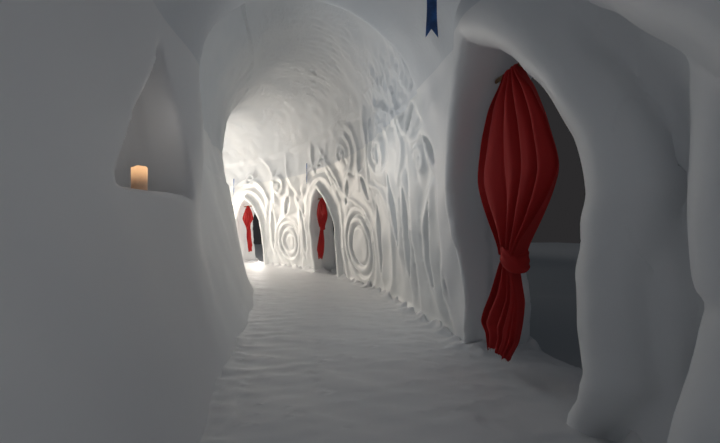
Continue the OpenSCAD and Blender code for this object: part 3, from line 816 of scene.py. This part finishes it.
def skin(values, axes):
    """Skin where values cross zero: a point in each crossed cell, a face over each
    crossed edge of the grid. Gives points and four-sided faces."""
    inside = values < 0
    cells = tuple(n - 1 for n in values.shape)
    corners = [(i, j, k) for i in (0, 1) for j in (0, 1) for k in (0, 1)]
    filled = sum(inside[i:i + cells[0], j:j + cells[1], k:k + cells[2]].astype(np.int8)
                 for i, j, k in corners)
    active = (filled > 0) & (filled < len(corners))
    number = np.full(cells, -1, np.int64)
    number[active] = np.arange(int(active.sum()))
    at = np.nonzero(active)
    total = np.zeros((len(at[0]), 3))
    hits = np.zeros(len(at[0]))
    for axis in range(3):
        for first in corners:
            if first[axis]:
                continue
            last = tuple(1 if n == axis else c for n, c in enumerate(first))
            a = values[tuple(n + c for n, c in zip(at, first))]
            b = values[tuple(n + c for n, c in zip(at, last))]
            crossed = (a < 0) != (b < 0)
            t = np.where(crossed, a / np.where(crossed, a - b, 1.0), 0.0)
            for n in range(3):
                p = axes[n][at[n] + first[n]]
                q = axes[n][at[n] + last[n]]
                total[:, n] += np.where(crossed, p + t * (q - p), 0.0)
            hits += crossed
    faces = []
    for axis in range(3):
        b, c = (axis + 1) % 3, (axis + 2) % 3
        low = [slice(1, -1)] * 3
        high = [slice(1, -1)] * 3
        low[axis], high[axis] = slice(0, -1), slice(1, None)
        solid = inside[tuple(low)]
        crossed = np.nonzero(solid != inside[tuple(high)])
        ring = []
        for db, dc in ((0, 0), (1, 0), (1, 1), (0, 1)):
            cell = list(crossed)
            cell[b] = cell[b] + db
            cell[c] = cell[c] + dc
            ring.append(number[tuple(cell)])
        ring = np.stack(ring, axis=1)
        inward = ~solid[crossed]
        ring[inward] = ring[inward][:, ::-1]
        faces.append(ring)
    return total / hits[:, None], np.concatenate(faces)


def outward_normals(points, faces):
    p = points[faces]
    face = np.cross(p[:, 2] - p[:, 0], p[:, 3] - p[:, 1])
    normal = np.zeros_like(points)
    for corner in range(4):
        for n in range(3):
            normal[:, n] += np.bincount(faces[:, corner], face[:, n], len(points))
    return normal / np.maximum(np.linalg.norm(normal, axis=1), 1e-12)[:, None]


def spaced(low, high, gap):
    return np.arange(math.floor(low / gap), math.ceil(high / gap) + 1) * gap


def grid_axes(low, high, cell):
    """Grid lines of the snow between two corners, closest at the faces that are seen
    near by; each line has one place for all pieces, so neighbours meet point on point."""
    wide, far = 1.8 * cell, 1.3 * cell
    stretches = (
        ((-2.4, -0.9 - 1e-6, cell), (-0.9 + wide, 0.45, wide), (0.45 + wide, 1.95, cell)),
        ((-0.2, 9.0, cell), (9.0 + far, LENGTH + 0.3, far)),
        ((-0.35, 3.0, 0.82 * cell), (3.0 + cell, 4.9, 1.15 * cell)))
    axes = []
    for runs, a, b in zip(stretches, low, high):
        line = np.unique(np.round(np.concatenate([spaced(*run) for run in runs]), 5))
        axes.append(line[(line > a) & (line < b)])
    return axes


def new_object(name, points, faces, material):
    mesh = bpy.data.meshes.new(name)
    mesh.vertices.add(len(points))
    mesh.vertices.foreach_set("co", np.asarray(points, np.float32).ravel())
    mesh.loops.add(faces.size)
    mesh.loops.foreach_set("vertex_index", faces.astype(np.int32).ravel())
    mesh.polygons.add(len(faces))
    mesh.polygons.foreach_set(
        "loop_start", np.arange(0, faces.size, faces.shape[1], dtype=np.int32))
    mesh.update(calc_edges=True)
    mesh.validate()
    made = bpy.data.objects.new(name, mesh)
    bpy.context.scene.collection.objects.link(made)
    mesh.materials.append(material)
    return made


def pick_only(piece):
    bpy.ops.object.select_all(action="DESELECT")
    piece.select_set(True)
    bpy.context.view_layer.objects.active = piece


@contextmanager
def editing(piece, choice="SELECT"):
    """Edit mode on one piece, with all or nothing of it chosen at first."""
    pick_only(piece)
    bpy.ops.object.mode_set(mode="EDIT")
    if choice:
        bpy.ops.mesh.select_all(action=choice)
    yield bpy.ops.mesh
    bpy.ops.object.mode_set(mode="OBJECT")


def cut_off(piece, place, way):
    """Cuts the piece with a plane, drops what lies beyond it and closes the cut."""
    with editing(piece) as mesh:
        mesh.bisect(plane_co=place, plane_no=way, use_fill=True, clear_outer=True)
        # A cut whose outline touches itself is still open here
        mesh.select_all(action="DESELECT")
        mesh.select_non_manifold(extend=False, use_wire=False, use_multi_face=False,
                                 use_non_contiguous=False, use_verts=False)
        if piece.data.total_edge_sel:
            mesh.fill(use_beauty=False)


def moved(piece, change):
    """Moves a piece's points by a function of all of them."""
    mesh = piece.data
    points = np.empty(len(mesh.vertices) * 3, np.float32)
    mesh.vertices.foreach_get("co", points)
    points = change(points.reshape(-1, 3).astype(float))
    mesh.vertices.foreach_set("co", points.astype(np.float32).ravel())
    mesh.update()


def rounded_look(piece, angle=55):
    pick_only(piece)
    bpy.ops.object.shade_smooth_by_angle(angle=math.radians(angle))


def settle(piece, slot, *nodes):
    """Gives a finished piece its body, in the place of its CAD nodes, which it hides; slot is not
    used.
    """
    if nodes:
        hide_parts(*nodes)
    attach(piece, ROOT)


def worked(points, normals, sizes):
    """Hand-worked unevenness of the snow, as moves of its skin."""
    a, s, z = points.T
    inside = section_out(a, z, -HALF_W - 0.35, HALF_W + 0.12, 4.3) < 0
    fine = sizes.unevenness * (0.10 + 0.25 * step(-0.6, 0.2, a))
    swell = sizes.unevenness * Swell(1, 1.1)(points) + fine * Swell(2, 0.3)(points)
    # Chipped patches: on the vault over the straight run, and on its right haunch
    ripple = np.abs(Swell(3, 0.14, (1.3, 0.8, 1.3))(points))
    chips = np.abs(Swell(4, 0.11, (1.0, 1.6, 2.4))(points))
    patch = faded((3.6, 3.9, z), (5.6, 6.4, s), (9.6, 8.4, s), (-1.1, -0.5, a), (0.75, 0.35, a))
    haunch = faded((2.35, 2.6, z), (3.7, 3.2, z), (0.25, 0.5, a), (4.5, 4.9, s), (7.4, 6.2, s))
    swell = swell - 0.008 * ripple * patch - 0.020 * chips * haunch
    outside = 0.018 + 0.016 * Swell(9, 1.3)(points) + 0.006 * Swell(10, 0.35)(points)
    move = np.where(inside, swell, -np.clip(outside, 0.0, 0.06))
    # The underside and the plain ends stay flat
    still = faded((0.0, 0.10, s), (0.0, 0.10, LENGTH - s), (-FLOOR_T, -FLOOR_T + 0.1, z))
    facing = np.abs(normals[:, 1])
    flat = facing * (1 - step(0.0, 0.03, s)) + facing * (1 - step(0.0, 0.03, LENGTH - s))
    return points + normals * (move * still * (1 - np.clip(flat, 0, 1)))[:, None]


# Cut between the walls and the vault: it runs level along the passage, and is higher
# on the right, over the tips of the doorways
CUT_AT, CUT_UP = Vector((0.0, 0.0, 2.49)), Vector((-0.1, 0.0, 1.0)).normalized()
UNDER_VAULT, OVER_WALLS = [(CUT_AT, CUT_UP)], [(CUT_AT, -CUT_UP)]

# Half the length of the snow that holds a far doorway
DOOR_HALF = 0.96
BEND_STOPS = [STRAIGHT, HALF_BEND, LENGTH]
FAR_STOPS = [door.along + way * DOOR_HALF for door in DOORS[1:] for way in (-1, 1)]

# Pieces that take the place of more than one CAD node, or of one with another name
NODES = {"near_pier": ("near_pier", "pier_column", "pier_swag")}
NODES.update({"doorway_%d" % n: ("door_head_%d" % n, "door_arch_%d" % n) for n in (1, 2, 3)})

SNOW_KINDS = {"smooth": (smooth_snow, "smooth"), "vault": (chipped_snow, "carved"),
              "carved": (carved_snow, "carved"), "floor": (trodden_snow, "trodden")}


def snow_material(kind):
    make, colour = SNOW_KINDS[kind]
    return frame_or_own("snow_" + kind, make, getattr(bpy.context.scene.snow_colours, colour))


def shape_pieces(names, stops, low, high, cuts, kind, slot=None, field=snow):
    """Shapes neighbouring pieces of snow between low and high, (across, up), and cuts
    each to its own stops along the passage, so that they meet without a gap."""
    sizes = bpy.context.scene.snow_sizes
    cell = sizes.cell * 1
    margin = 4 * cell * 1.35
    for name, first, last in zip(names, stops, stops[1:]):
        axes = grid_axes([v - margin for v in (low[0], first, low[1])],
                         [v + margin for v in (high[0], last, high[1])], cell)
        place = (axes[0][:, None, None], axes[1][None, :, None], axes[2][None, None, :])
        values = field(*place, sizes)
        # A closed blank, a little larger than the piece
        for line, grid in zip(axes, place):
            values = np.maximum(
                values, np.maximum(line[1] + 1e-3 - grid, grid - line[-2] + 1e-3))
        points, faces = skin(values, axes)
        if field is snow:
            points = worked(points, outward_normals(points, faces), sizes)
        piece = new_object(name + "_snow", points, faces, snow_material(kind))
        if first > 0:
            cut_off(piece, Vector((0, first, 0)), Vector((0, -1, 0)))
        if last < LENGTH:
            cut_off(piece, Vector((0, last, 0)), Vector((0, 1, 0)))
        for cut in cuts:
            cut_off(piece, *cut)
        moved(piece, to_frame)
        rounded_look(piece)
        settle(piece, slot or "snow_" + kind, *NODES.get(name, (name,)))


class IGLOO_OT_right_wall(bpy.types.Operator):
    """Shapes the right wall with its doorways, mouldings and carving"""
    bl_idname = "igloo.right_wall"
    bl_label = "Right wall and doorways"

    def execute(self, context):
        low, high = (0.1, -FLOOR_T), (1.8, 2.62)
        shape_pieces(["near_pier", "doorway_1"], [0.0, 2.05, 4.50],
                     low, high, UNDER_VAULT, "smooth")
        shape_pieces(["carved_wall_1", "carved_wall_2", "doorway_2", "carved_wall_3", "doorway_3",
                      "end_pier"], [4.50, STRAIGHT, *FAR_STOPS, LENGTH], low, high, UNDER_VAULT,
                     "carved")
        return {"FINISHED"}


class IGLOO_OT_left_wall(bpy.types.Operator):
    """Shapes the left wall with its candle niche"""
    bl_idname = "igloo.left_wall"
    bl_label = "Left wall and niche"

    def execute(self, context):
        shape_pieces(["left_wall_near", "niche_wall", "left_wall_straight", "left_wall_bend_1",
                      "left_wall_bend_2"], [0.0, 2.0, 4.3, *BEND_STOPS],
                     (-2.3, -FLOOR_T), (-0.6, 2.45), UNDER_VAULT, "smooth")
        return {"FINISHED"}


class IGLOO_OT_vault(bpy.types.Operator):
    """Shapes the vault over both walls"""
    bl_idname = "igloo.vault"
    bl_label = "Vault"

    def execute(self, context):
        shape_pieces(["vault_near", "vault_straight", "vault_bend_1", "vault_bend_2"],
                     [0.0, 4.3, *BEND_STOPS], (-2.3, 2.25), (1.8, 4.7), OVER_WALLS,
                     "vault", "snow_smooth")
        return {"FINISHED"}


class IGLOO_OT_floor(bpy.types.Operator):
    """Shapes the trodden floor and the sills of the doorways"""
    bl_idname = "igloo.floor"
    bl_label = "Floor"

    def execute(self, context):
        shape_pieces(["floor_near", "floor_straight", "floor_bend_1", "floor_bend_2"],
                     [0.0, 4.38, *BEND_STOPS], (-1.25, -FLOOR_T), (1.8, 0.2), [], "floor",
                     field=floor_snow)
        return {"FINISHED"}


# cloth, candle, ribbons

# A cloth on the rod over a doorway: its flat width, and as it hangs its width, the heights
# of its knot and hem, the way it leans and the seed of its folds
Curtain = namedtuple("Curtain", "name door cloth_w wide knot_z hem_z way seed")

# Flat height of the near cloth, and the height that it falls
FLAT_H, FALL_H = 2.08, 2.03
CLOTH_T = 0.0024
RIBBON_T = 0.0012
# Radius of a rod, of the cloth's bend over it, and the rows of the cloth there
ROD_R = 0.016
WRAP_R = ROD_R + 0.007
WRAP_ROWS = 10
# Edges of a hung cloth, from the rod to the knot and from there to the hem: how far
# down, and how far its edges stand from the doorway's middle, in half widths
SPREAD = [
    (0.00, 0.04, -0.22), (0.05, 0.16, -0.30), (0.13, 0.50, -0.52), (0.30, 0.74, -0.80),
    (0.50, 0.90, -1.02), (0.58, 0.90, -1.05), (0.70, 0.72, -0.86), (0.82, 0.48, -0.60),
    (0.93, 0.23, -0.32), (1.00, 0.13, -0.20),
]
TAIL = [
    (0.00, 0.14, -0.22), (0.12, 0.26, -0.14), (0.22, 0.32, -0.17), (0.42, 0.46, -0.23),
    (0.64, 0.70, -0.16), (0.76, 0.80, -0.11), (0.82, 0.66, -0.08), (1.00, 0.64, 0.12),
]


def curtain_points(curtain, columns, rows, pleats):
    """Grid of the hung cloth: (along the wall, out, up) for each row and column."""
    rng = np.random.default_rng(curtain.seed)
    u = np.linspace(-1, 1, columns)
    # Folds of uneven width that keep their place in the cloth from top to hem: broad
    # backs towards the passage, with narrow creases between them
    warp = u + 0.15 * np.sin(2.3 * u + 1.0) + 0.07 * np.sin(5.1 * u + rng.uniform(0, 6))
    phase = math.pi / 2 * (pleats * warp + rng.uniform(0, 1))
    backs = 2 * np.abs(np.sin(phase)) ** 0.7 - 1
    small = np.sin(3.1 * phase + 2.0 * np.sin(2.0 * u + 1.0))
    start = rng.uniform(0, 6, 3)
    knot, top, hem = curtain.knot_z, curtain.door.rod_up, curtain.hem_z
    spread = int((rows - WRAP_ROWS) * 0.64)
    fall = np.concatenate([np.linspace(top - 0.01, knot, spread),
                           np.linspace(knot, hem, rows - WRAP_ROWS - spread + 1)[1:]])
    half_w = curtain.wide / 2
    points = np.zeros((rows, columns, 3))
    # Over the rod, from behind it to the front
    low, high = SPREAD[0][2] * half_w, SPREAD[0][1] * half_w
    for row in range(WRAP_ROWS):
        angle = math.radians(-40) + math.radians(200) * row / (WRAP_ROWS - 1)
        points[row, :, 0] = (low + high) / 2 + (high - low) / 2 * u + 0.006 * np.sin(phase)
        points[row, :, 1] = WRAP_R * math.cos(angle) + 0.007 * np.cos(phase)
        points[row, :, 2] = top + WRAP_R * math.sin(angle)
    for row, z in enumerate(fall, WRAP_ROWS):
        above = z >= knot
        t = (top - z) / (top - knot) if above else (knot - z) / (knot - hem)
        stops, high, low = zip(*(SPREAD if above else TAIL))
        nearby = np.clip(t + np.linspace(-0.035, 0.035, 5), 0.0, 1.0)
        high = half_w * np.interp(nearby, stops, high).mean()
        low = half_w * np.interp(nearby, stops, low).mean()
        full = (high - low) / curtain.wide
        gather = 1.0 - min(1.0, full)
        half = (high - low) / 2
        side = (high + low) / 2 + half * np.sin(math.pi / 2 * (0.93 * u + 0.02 * np.sin(3 * u)))
        if above:
            depth = 0.012 + 0.034 * gather ** 0.8 + 0.022 * t
            belly = 0.05 * full * (1 - u * u)
            drag = 0.010 * full * np.sin(7 * u - 8 * t + start[1]) * (1 - np.abs(u)) ** 0.3
            out = -depth * backs - belly + drag + 0.004 * small * (0.4 + t)
            side = side + 0.12 * half / pleats * np.cos(2 * phase) * gather
            up = z - 0.04 * full * u * u * (1 - t)
        else:
            depth = 0.040 - 0.012 * t
            out = -depth * backs + 0.012 * np.sin(2.2 * u + 5 * t) + 0.006 * small
            # Torn, uneven hem
            up = z + t ** 6 * (0.020 * np.sin(3.2 * u + start[2]) + 0.008 * np.sin(17 * u)
                               + 0.006 * np.sin(41 * u + start[0]))
        points[row] = np.stack([side, out, up], axis=1)
    points[:, :, 0] *= curtain.way
    points[:, :, 1] += curtain.door.rod_out
    return points


def sheet_object(name, points, material, thickness):
    """A cloth from its grid of points, with the weave's map, closed by its thickness."""
    rows, columns = points.shape[:2]
    bpy.ops.mesh.primitive_grid_add(x_subdivisions=columns - 1, y_subdivisions=rows - 1, size=2)
    piece = bpy.context.active_object
    piece.name = name

    def laid(flat):
        column = np.rint((flat[:, 0] + 1) / 2 * (columns - 1)).astype(int)
        row = np.rint((1 - flat[:, 1]) / 2 * (rows - 1)).astype(int)
        return points[row, column]

    moved(piece, laid)
    piece.data.materials.append(material)
    thick = piece.modifiers.new("thickness", "SOLIDIFY")
    thick.thickness = thickness
    thick.offset = 0
    pick_only(piece)
    bpy.ops.object.modifier_apply(modifier=thick.name)
    rounded_look(piece, 70)
    return piece


def turn_faces(piece):
    """Turns the faces of a mirrored piece outwards again."""
    with editing(piece) as mesh:
        mesh.flip_normals()


def joined(name, pieces):
    pick_only(pieces[0])
    for piece in pieces:
        piece.select_set(True)
    bpy.ops.object.join()
    pieces[0].name = name
    return pieces[0]


def knot_band(curtain, material):
    """The band of cloth that is wound round a curtain at its knot."""
    bpy.ops.mesh.primitive_torus_add(
        major_segments=72, minor_segments=28, major_radius=1.0, minor_radius=0.42)
    piece = bpy.context.active_object
    piece.data.materials.append(material)
    size = 0.058 * curtain.wide + 0.012
    middle = -0.03 * curtain.wide

    def wind(points):
        x, y, z = points.T
        turn = np.arctan2(y, x)
        r = np.hypot(x, y)
        tube = np.arctan2(z, r - 1.0)
        crease = 0.07 * np.sin(3 * tube + 2 * turn) + 0.05 * np.sin(7 * tube - 3 * turn + 1)
        r = r + crease
        side = r * np.cos(turn) * size * 1.1
        out = r * np.sin(turn) * size * 0.95 + curtain.door.rod_out
        z = (z * 2.3 + crease) * size + 0.35 * side + 0.010 * np.sin(turn + 0.6)
        return np.stack([(middle + side) * curtain.way, out, z + curtain.knot_z - 0.02], axis=1)

    moved(piece, wind)
    if curtain.way < 0:
        turn_faces(piece)
    moved(piece, curtain.door.to_frame)
    piece.name = curtain.name + "_knot"
    rounded_look(piece, 80)
    return piece


def frayed_hem(curtain, cloth, material):
    """Loose pale threads under the hem."""
    rng = np.random.default_rng(curtain.seed + 7)
    threads = []
    hem = cloth[-1]
    for foot in hem[np.linspace(3, len(hem) - 4, 46).astype(int)]:
        drop = rng.uniform(0.008, 0.026)
        lean = rng.uniform(-0.3, 0.3, 2) * drop
        size = drop + 0.006
        bpy.ops.mesh.primitive_cone_add(vertices=5, radius1=0.0003, radius2=0.0013, depth=size)
        threads.append(bpy.context.active_object)

        def hang(points):
            share = 0.5 - points[:, 2] / size
            return np.stack([foot[0] + points[:, 0] + lean[0] * share ** 2,
                             foot[1] + points[:, 1] + lean[1] * share ** 2,
                             foot[2] + 0.004 - share * size], axis=1)

        moved(threads[-1], hang)
    piece = joined(curtain.name + "_fringe", threads)
    piece.data.materials.append(material)
    moved(piece, curtain.door.to_frame)
    return piece


def hang_curtain(curtain, pleats, red, pale):
    cloth = curtain_points(curtain, 132, 150, pleats)
    piece = sheet_object(curtain.name + "_cloth", cloth, red, CLOTH_T)
    moved(piece, curtain.door.to_frame)
    band = knot_band(curtain, red)
    fringe = frayed_hem(curtain, cloth, pale)
    for part, nodes in ((piece, [curtain.name]), (band, []), (fringe, [])):
        turn_faces(part)
        settle(part, "red_cloth", *nodes)
    flat_h = FLAT_H * (curtain.door.rod_up - curtain.hem_z) / FALL_H


class IGLOO_OT_curtains(bpy.types.Operator):
    """Hangs the knotted red curtains on their rods"""
    bl_idname = "igloo.curtains"
    bl_label = "Curtains"

    def execute(self, context):
        sizes = context.scene.curtain_sizes
        red, pale = frame_or_own("red_cloth", red_cloth, sizes.red), hem_thread()
        for curtain in (
            Curtain("curtain_1", DOORS[0], sizes.cloth_w, 1.03, 0.92, 0.165, 1, 11),
            Curtain("curtain_2", DOORS[1], sizes.far_cloth_w, 0.60, 1.18, 0.41, 1, 12),
            Curtain("curtain_3", DOORS[2], sizes.far_cloth_w, 0.58, 1.18, 0.41, -1, 13),
        ):
            hang_curtain(curtain, sizes.pleats, red, pale)
        return {"FINISHED"}


class IGLOO_OT_rods(bpy.types.Operator):
    """Gives the curtain rods their wood"""
    bl_idname = "igloo.rods"
    bl_label = "Curtain rods"

    def execute(self, context):
        wood = rod_wood(context.scene.small_colours.wood)
        for door in DOORS:
            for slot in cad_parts[door.rod].material_slots:
                slot.material = wood
        return {"FINISHED"}


def finished(piece, name, change, angle, material):
    """Shapes a round blank where it stands, and gives it its name and material."""
    pick_only(piece)
    bpy.ops.object.transform_apply(location=True, rotation=True, scale=True)
    moved(piece, change)
    piece.name = name
    rounded_look(piece, angle)
    piece.data.materials.append(material)
    return piece


class IGLOO_OT_candle(bpy.types.Operator):
    """Makes the candle in the niche, with its melted rim and its wick"""
    bl_idname = "igloo.candle"
    bl_label = "Candle"

    def execute(self, context):
        low, high = CANDLE_LOW, CANDLE_HIGH
        r, height = (high.x - low.x) / 2, high.z - low.z
        middle = Vector(((low.x + high.x) / 2, (low.y + high.y) / 2, low.z))
        bpy.ops.mesh.primitive_cylinder_add(
            vertices=72, radius=r, depth=height, location=(0, 0, height / 2), end_fill_type="NGON")
        candle = context.active_object
        with editing(candle, "DESELECT"):
            pass
        for face in candle.data.polygons:
            face.select = face.normal.z > 0.9
        with editing(candle, None) as mesh:
            mesh.inset(thickness=r * 0.12)
            mesh.inset(thickness=r * 0.06, depth=-height * 0.06)
            mesh.inset(thickness=r * 0.5, depth=-height * 0.02)
            mesh.select_all(action="SELECT")
            mesh.quads_convert_to_tris(quad_method="BEAUTY", ngon_method="BEAUTY")
            mesh.subdivide(number_cuts=2, smoothness=0)

        def melt(points):
            x, y, z = points.T
            turn = np.arctan2(y, x)
            rim = step(0.80, 1.0, z / height)
            sagged = 1 - 0.02 * rim * np.sin(3 * turn + 1)
            fluted = 1 - 0.012 * np.sin(9 * turn) * (1 - rim)
            z = z - rim * height * (
                0.035 + 0.030 * np.sin(2 * turn + 0.5) + 0.012 * np.sin(5 * turn))
            return np.stack([x * sagged * fluted + middle.x, y * sagged * fluted + middle.y,
                             z + middle.z], axis=1)

        wax = candle_wax(context.scene.small_colours.wax, low.z, high.z)
        settle(finished(candle, "candle_wax_body", melt, 50, wax), "candle_wax", "candle")

        wick_low, wick_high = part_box("candle_wick")
        tall = wick_high.z - wick_low.z
        bpy.ops.mesh.primitive_cylinder_add(vertices=12, radius=0.0014, depth=1.0)
        wick = context.active_object
        with editing(wick) as mesh:
            mesh.subdivide(number_cuts=3)

        def bend(points):
            x, y, z = points.T
            share = z + 0.5
            twist = 1 + 0.15 * np.sin(14 * share + 2 * np.arctan2(y, x))
            return np.stack([middle.x + x * twist + 0.0035 * share ** 2, middle.y + y * twist,
                             wick_low.z + share * tall], axis=1)

        settle(finished(wick, "candle_wick_thread", bend, 60, charred_wick()),
               "wick", "candle_wick")
        return {"FINISHED"}


def ribbon_points(low, high, width, turn, seed):
    """Grid of a forked, slightly twisted ribbon that fills a box from top to bottom."""
    u = np.linspace(-1, 1, 13)[None, :]
    v = np.linspace(0, 1, 61)[:, None]
    notch = (1 - np.abs(u)) * width * 0.75
    z = high.z - v * (high.z - low.z - notch * step(0.5, 1.0, v))
    side = width / 2 * (1 - 0.10 * np.sin(3.2 * v) ** 2) * u
    curl = 0.006 * np.sin(9 * v + 1.2 * u) * v + 0.004 * np.cos(2.4 * u) * v
    twist = 0.30 * v * np.sin(2.2 * v + seed)
    a = side * np.cos(twist) - curl * np.sin(twist)
    b = side * np.sin(twist) + curl * np.cos(twist)
    middle = (low + high) / 2
    x = middle.x + a * math.cos(turn) - b * math.sin(turn)
    y = middle.y + a * math.sin(turn) + b * math.cos(turn)
    return np.stack(np.broadcast_arrays(x, y, z), axis=-1)


class IGLOO_OT_ribbons(bpy.types.Operator):
    """Hangs the forked blue ribbons that mark the doorways"""
    bl_idname = "igloo.ribbons"
    bl_label = "Ribbons"

    def execute(self, context):
        blue = ribbon_cloth(context.scene.small_colours.ribbon)
        across = math.radians(90)
        for number, width, turn, vault in (
            (1, 0.09, 0.0, "vault_near_snow"),
            (2, 0.06, DOORS[1].turn + across, "vault_bend_1_snow"),
            (3, 0.06, DOORS[2].turn + across, "vault_bend_2_snow"),
        ):
            node = "ribbon_%d" % number
            low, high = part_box(node)
            points = ribbon_points(low, high, width, turn, number)
            piece = sheet_object(node + "_cloth", points, blue, RIBBON_T)
            settle(piece, "blue_ribbon", node)
        return {"FINISHED"}


# stage

SENSOR_W = 36
# Focal length and width of the picture, in its own pixels
FOCAL, PICTURE_W = 400, 720
EYE = (1.187, -7.549, 1.25)
TILT, TURN = 91.2, -10.8


def at(across, along, up):
    return Vector(to_frame(np.array([[across, along, up]]))[0])


def lamp(name, place, target, size, power, colour, spread=180):
    data = bpy.data.lights.new(name, "AREA")
    data.shape = "RECTANGLE"
    data.size, data.size_y = size
    data.energy = power
    data.color = colour
    data.spread = math.radians(spread)
    made = bpy.data.objects.new(name, data)
    bpy.context.scene.collection.objects.link(made)
    made.location = place
    made.rotation_euler = (Vector(target) - Vector(place)).to_track_quat("-Z", "Y").to_euler()


def surroundings(strength):
    """A dark backdrop for the camera, and even light of the given strength for the rest."""
    look = Finish("surroundings", "worlds", "ShaderNodeOutputWorld")
    seen = look.node("ShaderNodeBackground", None, {"Color": (0.024, 0.023, 0.024)})
    light = look.node("ShaderNodeBackground", None,
                      {"Color": (0.80, 0.90, 1.0), "Strength": strength})
    rays = look.node("ShaderNodeLightPath", out="Is Camera Ray")
    for other in ("Is Glossy Ray", "Is Transmission Ray"):
        rays = rays.maths("MAXIMUM", rays, look.node("ShaderNodeLightPath", out=other))
    return look.shown(look.node("ShaderNodeMixShader", None, {0: rays, 1: light, 2: seen}))


class IGLOO_OT_stage(bpy.types.Operator):
    """Lays the plain floor, and sets the lamps and the camera"""
    bl_idname = "igloo.stage"
    bl_label = "Stage"

    def execute(self, context):
        look = context.scene.stage_look
        bpy.ops.mesh.primitive_plane_add(size=56, location=(0, 0, -0.002))
        ground = context.active_object
        ground.name = "stage_floor"
        ground.data.materials.append(Finish("stage_floor").surface(look.floor, 0.9, {}, 0.1))
        context.scene.world = surroundings(look.sky)

        # Beyond the far end, looking back into the passage
        lamp("far_end_lamp", at(0.1, LENGTH + 1.1, 1.9), at(0.3, LENGTH - 5.0, 0.6), (1.8, 1.4),
             look.end_light, (1.0, 0.88, 0.74), spread=120)
        # In the mouth of the niche, for the glow of the candle
        lamp("niche_lamp", at(-1.16, NICHE_AT + 0.08, NICHE_SILL + 0.34),
             at(-1.6, NICHE_AT + 0.12, NICHE_SILL + 0.26), (0.3, 0.3), 0.16, (1.0, 0.95, 0.88))
        # Outside the last doorway, shining in
        lamp("far_doorway_lamp", at(HALF_W + 1.45, DOORS[2].along + 1.3, 1.1),
             at(HALF_W, DOORS[2].along - 0.1, 0.8), (1.7, 2.2), look.doorway_light,
             (1.0, 0.93, 0.85))
        # Under the vault, for the carved wall and the vault itself
        lamp("vault_lamp", at(-0.55, 5.5, 2.1), at(1.0, 5.0, 2.4), (2.6, 0.9), look.inner_light,
             (0.97, 0.99, 1.0))
        # Far out on the left, for the outside and the near end
        lamp("side_lamp", (-27.3, -14.9, 12.1), (0, 0, 2), (16.2, 9.5), 9500, (1.0, 0.97, 0.94))

        data = bpy.data.cameras.new("camera")
        data.sensor_width = SENSOR_W
        data.lens = SENSOR_W * FOCAL / PICTURE_W
        data.clip_start, data.clip_end = 0.02, 500
        camera = bpy.data.objects.new("camera", data)
        context.scene.collection.objects.link(camera)
        camera.location = EYE
        camera.rotation_euler = (math.radians(TILT), 0, math.radians(TURN))
        context.scene.camera = camera
        context.scene.view_settings.view_transform = "Standard"
        return {"FINISHED"}


class IGLOO_PT_panel(bpy.types.Panel):
    bl_idname = "IGLOO_PT_panel"
    bl_label = "Snow passage"
    bl_space_type = "VIEW_3D"
    bl_region_type = "UI"
    bl_category = "Snow passage"

    def draw(self, context):
        for group, kind in GROUPS:
            box = self.layout.box()
            for name in kind.__annotations__:
                box.prop(getattr(context.scene, group), name)
        for operator in OPERATORS:
            self.layout.operator(operator.bl_idname)


GROUPS = [
    ("snow_sizes", SnowSizes), ("snow_colours", SnowColours),
    ("curtain_sizes", CurtainSizes), ("small_colours", SmallColours),
    ("stage_look", StageLook),
]
OPERATORS = [
    IGLOO_OT_right_wall, IGLOO_OT_left_wall, IGLOO_OT_vault, IGLOO_OT_floor,
    IGLOO_OT_rods, IGLOO_OT_curtains, IGLOO_OT_candle, IGLOO_OT_ribbons,
    IGLOO_OT_stage,
]


def register():
    for name, group in GROUPS:
        bpy.utils.register_class(group)
        setattr(bpy.types.Scene, name, PointerProperty(type=group))
    for kind in OPERATORS + [IGLOO_PT_panel]:
        bpy.utils.register_class(kind)


def unregister():
    for kind in reversed(OPERATORS + [IGLOO_PT_panel]):
        bpy.utils.unregister_class(kind)
    for name, group in reversed(GROUPS):
        delattr(bpy.types.Scene, name)
        bpy.utils.unregister_class(group)


def main():
    register()
    bpy.ops.igloo.stage()
    bpy.ops.igloo.right_wall()
    bpy.ops.igloo.left_wall()
    bpy.ops.igloo.vault()
    bpy.ops.igloo.floor()
    bpy.ops.igloo.rods()
    bpy.ops.igloo.curtains()
    bpy.ops.igloo.candle()
    bpy.ops.igloo.ribbons()


if __name__ == "__main__":
    main()
